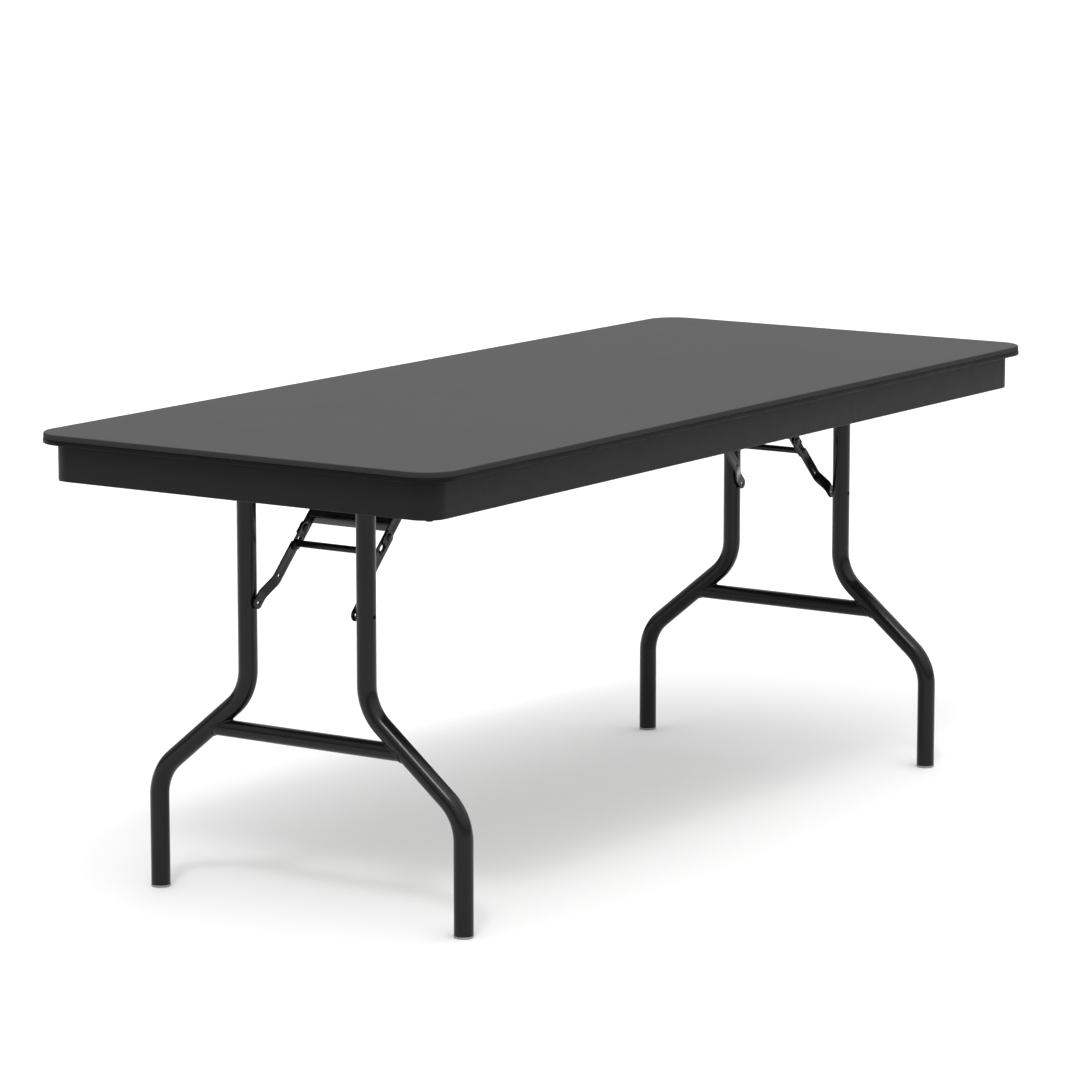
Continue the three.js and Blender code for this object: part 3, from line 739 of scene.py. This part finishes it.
def make_screw():
    """Pan head with a cross recess, drawn with its axis at the origin."""
    face = PLATE_BOTTOM - GAP
    bottom, tip = face - SCREW_HEAD_HEIGHT, face + SCREW_LENGTH
    edge = 1.3
    profile = [(0, bottom), (SCREW_CROWN, bottom)]
    profile += arc((SCREW_HEAD - edge, bottom + edge), edge, -60, 0, 6)
    profile += [(SCREW_HEAD, face), (SCREW_RADIUS, face), (SCREW_RADIUS, tip), (0, tip)]
    screw = turned_upright(profile, SMALL_SIDES)
    recess_top = bottom + edge
    arms = []
    for turn in (0, math.pi / 2):
        arm = bmesh.new()
        bmesh.ops.create_cube(arm, size=1)
        moved(arm, Matrix.Diagonal((SCREW_HEAD, RECESS_WIDTH, RECESS_DEPTH, 1)))
        shifted(arm, 0, 0, recess_top - RECESS_DEPTH / 2)
        arms.append(moved(arm, Matrix.Rotation(turn, 4, "Z")))
    return cut(cut(screw, arms[0]), arms[1])


# ------------------------------------------------------------------ folding brace


def on_brace(bm):
    """From the brace's own drawing, X along it and Z square to it, to its open place."""
    return moved(bm, Matrix.Translation(KNEE) @ Matrix.Rotation(-BRACE_ANGLE, 4, "Y"))


def standing(bm, y):
    """A plate drawn in X and Y stood up so that its Y becomes Z, its middle at that y."""
    return shifted(moved(bm, Matrix.Rotation(math.pi / 2, 4, "X")), 0, y, 0)


def make_upper_brace():
    half = BRACE_WIDTH / 2
    outline = stadium(-SLOT_FAR, UPPER_LENGTH, 0, half)
    slot = stadium(-SLOT_FAR, -SLOT_NEAR, SLOT_Z, SLOT_RADIUS)[::-1]
    pins = [circle(x, 0, PIN_RADIUS + GAP) for x in (0, UPPER_LENGTH)]
    middle = UPPER_ARM_Y + BRACE_SHEET / 2
    arms = [
        standing(plate(outline, [slot, *pins], BRACE_SHEET), way * middle) for way in (-1, 1)
    ]
    return on_brace(joined(*arms, make_web()))


def make_web():
    """The plate between the arms, with its edges and its lower end folded down."""
    bend = 1.2
    middle = bend + BRACE_SHEET / 2
    fold_length = middle * math.pi / 2
    lip_y = UPPER_ARM_Y - WEB_CLEARANCE
    side_start = lip_y - BRACE_SHEET / 2 - middle
    side_end = side_start + fold_length + WEB_FLANGE
    lip_start = -WEB_START - BRACE_SHEET / 2 - middle
    lip_end = -lip_start - fold_length - (BRACE_WIDTH - BRACE_SHEET / 2 - middle)
    corner, relief = 4, 1
    low_x, high_x = WEB_START + BRACE_SHEET + corner, WEB_END
    relief_end = side_start - 1
    near_side = [(low_x - relief, lip_y), (low_x - relief, relief_end), (low_x, relief_end)]
    outline = [(lip_end, -lip_y)] + [(x, -y) for x, y in near_side]
    outline += arc((low_x + corner, -side_end + corner), corner, 180, 270, 6)
    outline += arc((high_x - corner, -side_end + corner), corner, 270, 360, 6)
    outline += arc((high_x - corner, side_end - corner), corner, 0, 90, 6)
    outline += arc((low_x + corner, side_end - corner), corner, 90, 180, 6)
    outline += near_side[::-1] + [(lip_end, lip_y)]
    bm = plate(outline, [], BRACE_SHEET)
    for way in (-1, 1):
        folded(
            bm, 1, side_start, -math.pi / 2, bend, BRACE_SHEET, way,
            lambda point: point.x > low_x - relief / 2)
    folded(bm, 0, lip_start, -math.pi / 2, bend, BRACE_SHEET, -1)
    return shifted(bm, 0, 0, BRACE_WIDTH / 2 - BRACE_SHEET / 2)


def joggle_step(place):
    """How far the lower arm has stepped out: a straight slope with a curve at each end."""
    blend = JOGGLE_BLEND
    slope = JOGGLE / (JOGGLE_END - JOGGLE_START)

    def ramp(run):
        if run <= -blend:
            return 0
        if run >= blend:
            return run
        return (run + blend) ** 2 / (4 * blend)

    return slope * (ramp(place - JOGGLE_START) - ramp(place - JOGGLE_END))


def make_lower_arm():
    """Flat by the upper arm, then stepping out towards the leg."""
    half = BRACE_WIDTH / 2
    floor = SLOT_Z - SLOT_RADIUS
    start, end, corner, head = NOTCH_START, NOTCH_END, NOTCH_CORNER, HEAD_RADIUS
    lip = math.degrees(math.asin(half / end))
    outline = arc((0, 0), head, -math.degrees(math.asin(half / head)), 0, 8)[:-1]
    outline += arc((0, 0), head, 0, 180 - math.degrees(math.asin(half / head)), 24)
    outline += [(-start, half)]
    outline += arc((-start - corner, floor + corner), corner, 360, 270, 6)
    outline += arc((0, 0), end, 180 - math.degrees(math.asin(floor / end)), 180 - lip, 10)
    outline += arc((-LOWER_LENGTH, 0), half, 90, 270, 28)
    outline += [(-JOGGLE_END, -half), (-JOGGLE_START, -half)]
    holes = [
        circle(0, 0, PIN_RADIUS + GAP), circle(-ARM_HOLE, 0, ARM_HOLE_RADIUS),
        circle(-LOWER_LENGTH, 0, TAB_HOLE_RADIUS),
    ]
    bm = plate(outline, holes, BRACE_SHEET)
    for place in range(JOGGLE_START - JOGGLE_BLEND, JOGGLE_END + JOGGLE_BLEND):
        sliced(bm, 0, -place)
    for vertex in bm.verts:
        vertex.co.z -= joggle_step(-vertex.co.x)
    return on_brace(standing(bm, LOWER_ARM_Y + BRACE_SHEET / 2))


def make_knee_rivet():
    inside, outside = UPPER_ARM_Y - GAP, LOWER_ARM_Y + BRACE_SHEET + GAP
    head = dome(RIVET_HEAD, RIVET_HEIGHT)
    crown = inside - RIVET_HEIGHT
    edge = 0.3
    inner = [(r, inside - h) for r, h in head if r > DIMPLE_RADIUS]
    profile = [
        (0, crown + DIMPLE_DEPTH), (DIMPLE_RADIUS - edge, crown + DIMPLE_DEPTH),
        (DIMPLE_RADIUS, crown + edge),
    ]
    profile += inner[::-1] + [(PIN_RADIUS, inside), (PIN_RADIUS, outside)]
    profile += [(r, outside + h) for r, h in head]
    return on_brace(turned(profile, PIN_SIDES))


def make_lock_bar():
    """The bar, with a collar inside each arm and a thin neck through the arms."""
    shoulder = UPPER_ARM_Y - BAR_CLEARANCE
    collar = shoulder - BAR_COLLAR_WIDTH
    edge = 0.8
    half = [
        (BAR_RADIUS, collar), (BAR_COLLAR - edge, collar),
        (BAR_COLLAR, (collar + shoulder) / 2), (BAR_COLLAR - edge, shoulder),
        (BAR_NECK, shoulder),
        (BAR_NECK, BAR_REACH - edge), (BAR_NECK - edge, BAR_REACH), (0, BAR_REACH),
    ]
    profile = [(r, -y) for r, y in reversed(half)] + half
    return on_brace(shifted(turned(profile, PIN_SIDES), -SLOT_FAR, 0, SLOT_Z))


# ------------------------------------------------------------------ materials


class Painter:
    """A material's node tree, with short ways to add the nodes that the finishes use."""

    def __init__(self, name):
        self.material = bpy.data.materials.new(name)
        self.material.use_nodes = True
        self.tree = self.material.node_tree
        self.shader = self.tree.nodes["Principled BSDF"]
        self.place = self.add("TexCoord").outputs["Object"]

    def add(self, kind, inputs=None, **settings):
        node = self.tree.nodes.new("ShaderNode" + kind)
        for name, value in settings.items():
            setattr(node, name, value)
        for name, value in (inputs or {}).items():
            self.set(node.inputs[name], value)
        return node

    def set(self, socket, value):
        if isinstance(value, bpy.types.NodeSocket):
            self.tree.links.new(value, socket)
        else:
            socket.default_value = value

    def noise(self, scale, detail=3, roughness=0.55, place=None):
        node = self.add("TexNoise", {
            "Vector": place or self.place, "Scale": scale, "Detail": detail,
            "Roughness": roughness,
        })
        return node.outputs["Fac"]

    def cells(self, scale, smoothness=0.6):
        node = self.add("TexVoronoi", {
            "Vector": self.place, "Scale": scale, "Smoothness": smoothness,
        }, feature="SMOOTH_F1")
        return node.outputs["Distance"]

    def stretched(self, scale):
        """The place, stretched so that a noise on it runs in streaks."""
        return self.add("Mapping", {"Vector": self.place, "Scale": scale}).outputs["Vector"]

    def ranged(self, value, from_low, from_high, to_low, to_high):
        node = self.add("MapRange", {
            "Value": value, "From Min": from_low, "From Max": from_high, "To Min": to_low,
            "To Max": to_high,
        }, clamp=True)
        return node.outputs["Result"]

    def times(self, first, second):
        node = self.add("Math", operation="MULTIPLY")
        self.set(node.inputs[0], first)
        self.set(node.inputs[1], second)
        return node.outputs[0]

    def plus(self, first, second):
        node = self.add("Math", operation="ADD")
        self.set(node.inputs[0], first)
        self.set(node.inputs[1], second)
        return node.outputs[0]

    def mixed(self, share, first, second):
        node = self.add("MixRGB")
        self.set(node.inputs["Fac"], share)
        self.set(node.inputs["Color1"], first)
        self.set(node.inputs["Color2"], second)
        return node.outputs["Color"]

    def height(self, axis="Z"):
        return self.add("SeparateXYZ", {"Vector": self.place}).outputs[axis]

    def bump(self, height, distance, strength=1, below=None):
        inputs = {"Height": height, "Distance": distance, "Strength": strength}
        if below is not None:
            inputs["Normal"] = below
        return self.add("Bump", inputs).outputs["Normal"]

    def finish(self, colour, roughness, normal, **uniform):
        self.set(self.shader.inputs["Base Color"], colour)
        self.set(self.shader.inputs["Roughness"], roughness)
        self.set(self.shader.inputs["Normal"], normal)
        for name, value in uniform.items():
            self.shader.inputs[name.replace("_", " ")].default_value = value
        return self.material


def grey(value, warmth=0.0):
    return (value * (1 + warmth), value, value * (1 - warmth), 1)


def top_plastic():
    """Laminate-like plastic: a fine pebble grain, cloudy sheen and a few faint hairlines, with
    painted shade on its side.
    """
    p = Painter("top_plastic")
    speckle = p.noise(1800, 2, 0.6)
    cloud = p.noise(5, 4, 0.6)
    tone = p.mixed(p.ranged(speckle, 0.3, 0.7, 0, 1), grey(0.054), grey(0.066))
    tone = p.mixed(p.ranged(cloud, 0.35, 0.65, 0, 0.15), tone, grey(0.067))
    hairlines = p.noise(55, 6, 0.75, p.stretched((1, 22, 1)))
    marks = p.ranged(hairlines, 0.66, 0.74, 0, 0.06)
    tone = p.mixed(marks, tone, grey(0.09))
    # painted shade: the side of the top, below its rounded edge, is painted darker than the face
    # to stand in for the shade on that upright side
    side_end = (TABLE_HEIGHT - TOP_SIDE_SHADE_END) * MILLIMETRE
    side = p.ranged(p.height(), side_end, side_end + TOP_SIDE_SHADE_FADE * MILLIMETRE, 1, 0)
    tone = p.mixed(side, tone, grey(0.021))
    roughness = p.ranged(p.noise(16, 5, 0.6), 0.3, 0.7, 0.75, 0.78)
    normal = p.bump(p.cells(1100), 0.00012, 0.35)
    normal = p.bump(p.noise(3200, 2), 0.00005, 0.3, normal)
    return p.finish(tone, roughness, normal, Specular_IOR_Level=0.15)


def rim_plastic():
    """Moulded edge band: satin, with fine drag lines along it."""
    p = Painter("rim_plastic")
    tone = p.mixed(p.ranged(p.noise(900, 3), 0.3, 0.7, 0, 1), grey(0.0015), grey(0.0030))
    drag = p.noise(700, 3, 0.6, p.stretched((0.02, 0.02, 1)))
    roughness = p.ranged(p.noise(30, 5), 0.3, 0.7, 0.42, 0.55)
    normal = p.bump(drag, 0.00008, 0.3)
    normal = p.bump(p.noise(2600, 2), 0.00005, 0.3, normal)
    return p.finish(tone, roughness, normal, Specular_IOR_Level=0.1)


def powder_coat(name, dark, light, smoothest, roughest, peel, shine):
    """Paint fused from powder: orange peel, a faint mottle and rubbed patches near the floor."""
    p = Painter(name)
    tone = p.mixed(p.ranged(p.noise(260, 4, 0.65), 0.3, 0.7, 0, 1), grey(dark), grey(light))
    scuffs = p.noise(140, 6, 0.75, p.stretched((1, 1, 3.5)))
    near_floor = p.ranged(p.height(), 0.0, 0.12, 1, 0)
    rubbed = p.times(p.ranged(scuffs, 0.60, 0.70, 0, 0.5), near_floor)
    tone = p.mixed(rubbed, tone, grey(0.09, 0.03))
    roughness = p.ranged(p.noise(45, 5, 0.6), 0.3, 0.7, smoothest, roughest)
    roughness = p.plus(roughness, p.times(rubbed, 0.4))
    normal = p.bump(p.noise(650, 2, 0.4), 0.0002, peel)
    normal = p.bump(p.noise(3000, 2), 0.00004, 0.2, normal)
    return p.finish(tone, roughness, normal, Specular_IOR_Level=shine)


def core_wood():
    """The underside: pressed fibres under a thin sealer, with darker flecks."""
    p = Painter("core_wood")
    fibres = p.noise(420, 6, 0.7, p.stretched((0.35, 1, 1)))
    flecks = p.cells(260, 0.2)
    dark, light, fleck = grey(0.11, 0.12), grey(0.18, 0.12), grey(0.07, 0.10)
    tone = p.mixed(p.ranged(fibres, 0.32, 0.68, 0, 1), dark, light)
    tone = p.mixed(p.ranged(flecks, 0.0, 0.22, 0.55, 0), tone, fleck)
    tone = p.mixed(p.ranged(p.noise(4, 4), 0.35, 0.65, 0, 0.3), tone, grey(0.20, 0.14))
    roughness = p.ranged(fibres, 0.3, 0.7, 0.62, 0.8)
    return p.finish(tone, roughness, p.bump(fibres, 0.0003, 0.4), Specular_IOR_Level=0.35)


def zinc_steel():
    """Bright zinc plate: fine turning lines and a slightly patchy passivation."""
    p = Painter("zinc_steel")
    patches = p.noise(180, 4, 0.6)
    tone = p.mixed(p.ranged(patches, 0.35, 0.65, 0, 1), grey(0.51, -0.03), grey(0.60, 0.04))
    lines = p.noise(2400, 3, 0.6, p.stretched((1, 1, 0.05)))
    roughness = p.ranged(patches, 0.3, 0.7, 0.24, 0.38)
    return p.finish(tone, roughness, p.bump(lines, 0.00005, 0.4), Metallic=1.0)


def glide_plastic():
    """Grey foot: moulded, dull, with grit marks on its tread."""
    p = Painter("glide_plastic")
    grit = p.noise(1200, 5, 0.7)
    tread = p.ranged(p.height(), 0.0, 0.0012, 1, 0)
    tone = p.mixed(p.ranged(p.noise(300, 3), 0.3, 0.7, 0, 1), grey(0.20), grey(0.25))
    tone = p.mixed(p.times(p.ranged(grit, 0.45, 0.65, 0, 0.7), tread), tone, grey(0.09, 0.04))
    roughness = p.ranged(grit, 0.3, 0.7, 0.45, 0.65)
    return p.finish(tone, roughness, p.bump(grit, 0.0001, 0.3))


def bush_nylon():
    p = Painter("bush_nylon")
    mottle = p.noise(350, 4)
    tone = p.mixed(p.ranged(mottle, 0.3, 0.7, 0, 1), grey(0.56, 0.09), grey(0.66, 0.08))
    roughness = p.ranged(mottle, 0.3, 0.7, 0.36, 0.5)
    return p.finish(
        tone, roughness, p.bump(p.noise(1500, 3), 0.00006, 0.3), Subsurface_Weight=0.08)


def pad_rubber():
    p = Painter("pad_rubber")
    grain = p.noise(1400, 4, 0.65)
    tone = p.mixed(p.ranged(grain, 0.3, 0.7, 0, 1), grey(0.022), grey(0.034))
    roughness = p.ranged(grain, 0.3, 0.7, 0.68, 0.86)
    return p.finish(tone, roughness, p.bump(grain, 0.00015, 0.4))


FINISHES = {
    "top_plastic": top_plastic(),
    "rim_plastic": rim_plastic(),
    "core_wood": core_wood(),
    "apron_steel": powder_coat(
        "apron_steel", dark=0.0070, light=0.0085, smoothest=0.44, roughest=0.50,
        peel=0.22, shine=0.12),
    "frame_steel": powder_coat(
        "frame_steel", dark=0.0035, light=0.0050, smoothest=0.17, roughest=0.23,
        peel=0.14, shine=0.23),
    "zinc_steel": zinc_steel(),
    "glide_plastic": glide_plastic(),
    "bush_nylon": bush_nylon(),
    "pad_rubber": pad_rubber(),
}
SLOT_OF = {part["node"]: part["material_slot"] for part in frame["record"]["subparts"]}
for node_name, node in frame["nodes"].items():
    node.data.materials.clear()
    node.data.materials.append(FINISHES[SLOT_OF[node_name]])

# ------------------------------------------------------------------ placing the pieces


def shown(bm, name, body, node, smooth_angle=SMOOTH_ANGLE):
    """A piece from its drawing, riding on its body and standing for its CAD node."""
    mesh = bpy.data.meshes.new(name)
    bm.to_mesh(mesh)
    mesh.transform(Matrix.Scale(MILLIMETRE, 4))
    mesh.set_sharp_from_angle(angle=math.radians(smooth_angle))
    mesh.polygons.foreach_set("use_smooth", [True] * len(mesh.polygons))
    mesh.materials.append(FINISHES[SLOT_OF[node]])
    obj = bpy.data.objects.new(name, mesh)
    bpy.context.scene.collection.objects.link(obj)
    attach(obj, body)
    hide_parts(node)
    return obj


def placed(bm, mirror, turn):
    """A copy of a drawing, mirrored to the front and turned to the right end as asked."""
    copy = bm.copy()
    if mirror:
        moved(copy, Matrix.Diagonal((1, -1, 1, 1)))
        bmesh.ops.reverse_faces(copy, faces=copy.faces)
    if turn:
        moved(copy, Matrix.Rotation(math.pi, 4, "Z"))
    return copy


def at_both_ends(bm, part, body, looks):
    """One piece at each end. body is the end of the body's name, or tabletop."""
    for end in ("left", "right"):
        whole = body if body == "tabletop" else f"{end}_{body}"
        name = f"{end}_{part}"
        shown(placed(bm, False, end == "right"), f"{name}_{looks}", whole, name)
    bm.free()


def at_all_corners(bm, part, body, looks):
    """A piece drawn at the back left, shown at all four corners."""
    for end in ("left", "right"):
        whole = body if body == "tabletop" else f"{end}_{body}"
        turn = end == "right"
        for side in ("front", "back"):
            mirror = (side == "front") != turn
            name = f"{end}_{side}_{part}"
            shown(placed(bm, mirror, turn), f"{name}_{looks}", whole, name)
    bm.free()


shown(make_top(), "table_top", "tabletop", "top_panel", BROAD_SMOOTH_ANGLE)
shown(make_band(), "table_edge", "tabletop", "edge_band", BROAD_SMOOTH_ANGLE)
shown(make_apron(), "table_apron", "tabletop", "apron", BROAD_SMOOTH_ANGLE)

pad_reach = APRON_CORNER - (APRON_CORNER - PAD_INSET) * math.sqrt(0.5)
pad_x = TABLE_LENGTH / 2 - APRON_INSET_X - pad_reach
pad_y = TABLE_WIDTH / 2 - APRON_INSET_Y - pad_reach
for front_back, way_y in (("front", -1), ("back", 1)):
    for left_right, way_x in (("left", -1), ("right", 1)):
        corner_name = f"stack_pad_{front_back}_{left_right}"
        pad = shifted(make_pad(), way_x * pad_x, way_y * pad_y)
        shown(pad, f"{corner_name}_rubber", "tabletop", corner_name)

at_both_ends(make_shaft(), "pivot_shaft", "leg_frame", "tube")
at_both_ends(make_stretcher(), "stretcher", "leg_frame", "tube")
at_both_ends(make_brace_bracket(), "brace_bracket", "tabletop", "plate")
at_both_ends(make_brace_rod(), "brace_rod", "tabletop", "pin")
at_both_ends(make_upper_brace(), "upper_brace", "upper_brace", "arms")
at_both_ends(make_lock_bar(), "lock_bar", "lock_bar", "rod")

at_all_corners(make_leg(), "leg", "leg_frame", "tube")
at_all_corners(make_sleeve(), "leg_pivot_sleeve", "leg_frame", "ring")
at_all_corners(make_glide(), "glide", "leg_frame", "cap")
at_all_corners(make_hinge_bracket(), "hinge_bracket", "tabletop", "plate")
at_all_corners(make_bush(), "hinge_bush", "tabletop", "ring")
at_all_corners(make_lower_arm(), "lower_arm", "lower_arms", "strip")
at_all_corners(make_knee_rivet(), "knee_rivet", "upper_brace", "pin")
screw_mesh = make_screw()
for number, offset in ((1, -SCREW_SPACING / 2), (2, SCREW_SPACING / 2)):
    hinge_screw = shifted(screw_mesh.copy(), LEG_X + offset, UPRIGHT_Y)
    at_all_corners(hinge_screw, f"hinge_screw_{number}", "tabletop", "cross")
brace_screw = shifted(screw_mesh.copy(), BRACE_TOP.x + BRACE_SCREW_X, BRACE_SCREW_Y)
at_all_corners(brace_screw, "brace_screw", "tabletop", "cross")
screw_mesh.free()

# ------------------------------------------------------------------ camera, floor and light

camera_data = bpy.data.cameras.new("camera")
camera_data.lens = CAMERA_LENS
camera_data.sensor_width = CAMERA_SENSOR
camera_data.clip_end = 200
camera = bpy.data.objects.new("camera", camera_data)
looking = Vector((
    math.cos(CAMERA_YAW) * math.cos(CAMERA_PITCH),
    math.sin(CAMERA_YAW) * math.cos(CAMERA_PITCH),
    math.sin(CAMERA_PITCH)))
camera.location = CAMERA_PLACE
camera.rotation_euler = looking.to_track_quat("-Z", "Y").to_euler()
bpy.context.scene.collection.objects.link(camera)
bpy.context.scene.camera = camera


def make_floor():
    bm = bmesh.new()
    bmesh.ops.create_circle(bm, cap_ends=True, radius=FLOOR_RADIUS, segments=96)
    mesh = bpy.data.meshes.new("floor")
    bm.to_mesh(mesh)
    bm.free()
    p = Painter("floor_paint")
    tone = p.mixed(p.noise(3, 3), grey(0.80), grey(0.81))
    roughness = p.ranged(p.noise(6, 3), 0.3, 0.7, 0.8, 0.9)
    mesh.materials.append(p.finish(tone, roughness, p.bump(p.noise(900, 2), 0.00005, 0.1)))
    floor = bpy.data.objects.new("floor", mesh)
    bpy.context.scene.collection.objects.link(floor)


def make_sky():
    """Studio light as a sky: soft walls, a broad light and a small lamp, white to the camera."""
    world = bpy.data.worlds.new("studio")
    world.use_nodes = True
    tree = world.node_tree

    def add(kind, values, **settings):
        node = tree.nodes.new("ShaderNode" + kind)
        for name, value in settings.items():
            setattr(node, name, value)
        for socket, value in values.items():
            if isinstance(value, bpy.types.NodeSocket):
                tree.links.new(value, node.inputs[socket])
            else:
                node.inputs[socket].default_value = value
        return node.outputs

    direction = add("TexCoord", {})["Generated"]
    height = add("SeparateXYZ", {0: direction})["Z"]
    walls = add("MapRange", {
        "Value": height, "From Min": 0.0, "From Max": SKY_HIGH_AT, "To Min": SKY_HORIZON,
        "To Max": SKY_HIGH,
    }, interpolation_type="SMOOTHSTEP")["Result"]
    side = add("VectorMath", {0: direction, 1: SKY_SIDE}, operation="DOT_PRODUCT")["Value"]
    gain = add("Math", {0: side, 1: SKY_SIDE_GAIN, 2: 1.0}, operation="MULTIPLY_ADD")[0]
    walls = add("Math", {0: walls, 1: gain}, operation="MULTIPLY")[0]

    def with_light(below, place, strength, focus):
        middle = Vector(place).normalized()
        facing = add("VectorMath", {0: direction, 1: middle}, operation="DOT_PRODUCT")["Value"]
        facing = add("Math", {0: facing, 1: 0.0}, operation="MAXIMUM")[0]
        lobe = add("Math", {0: facing, 1: focus}, operation="POWER")[0]
        return add("Math", {0: lobe, 1: strength, 2: below}, operation="MULTIPLY_ADD")[0]

    light = with_light(walls, KEY_FROM, KEY_STRENGTH, KEY_FOCUS)
    light = with_light(light, LAMP_FROM, LAMP_STRENGTH, LAMP_FOCUS)
    seen = add("LightPath", {})["Is Camera Ray"]
    strength = add("Mix", {"Factor": seen, "A": light, "B": 1.0}, data_type="FLOAT")["Result"]
    background = tree.nodes["Background"]
    background.inputs["Color"].default_value = (1, 1, 1, 1)
    tree.links.new(strength, background.inputs["Strength"])
    bpy.context.scene.world = world


make_floor()
make_sky()
bpy.context.scene.view_settings.view_transform = "Standard"
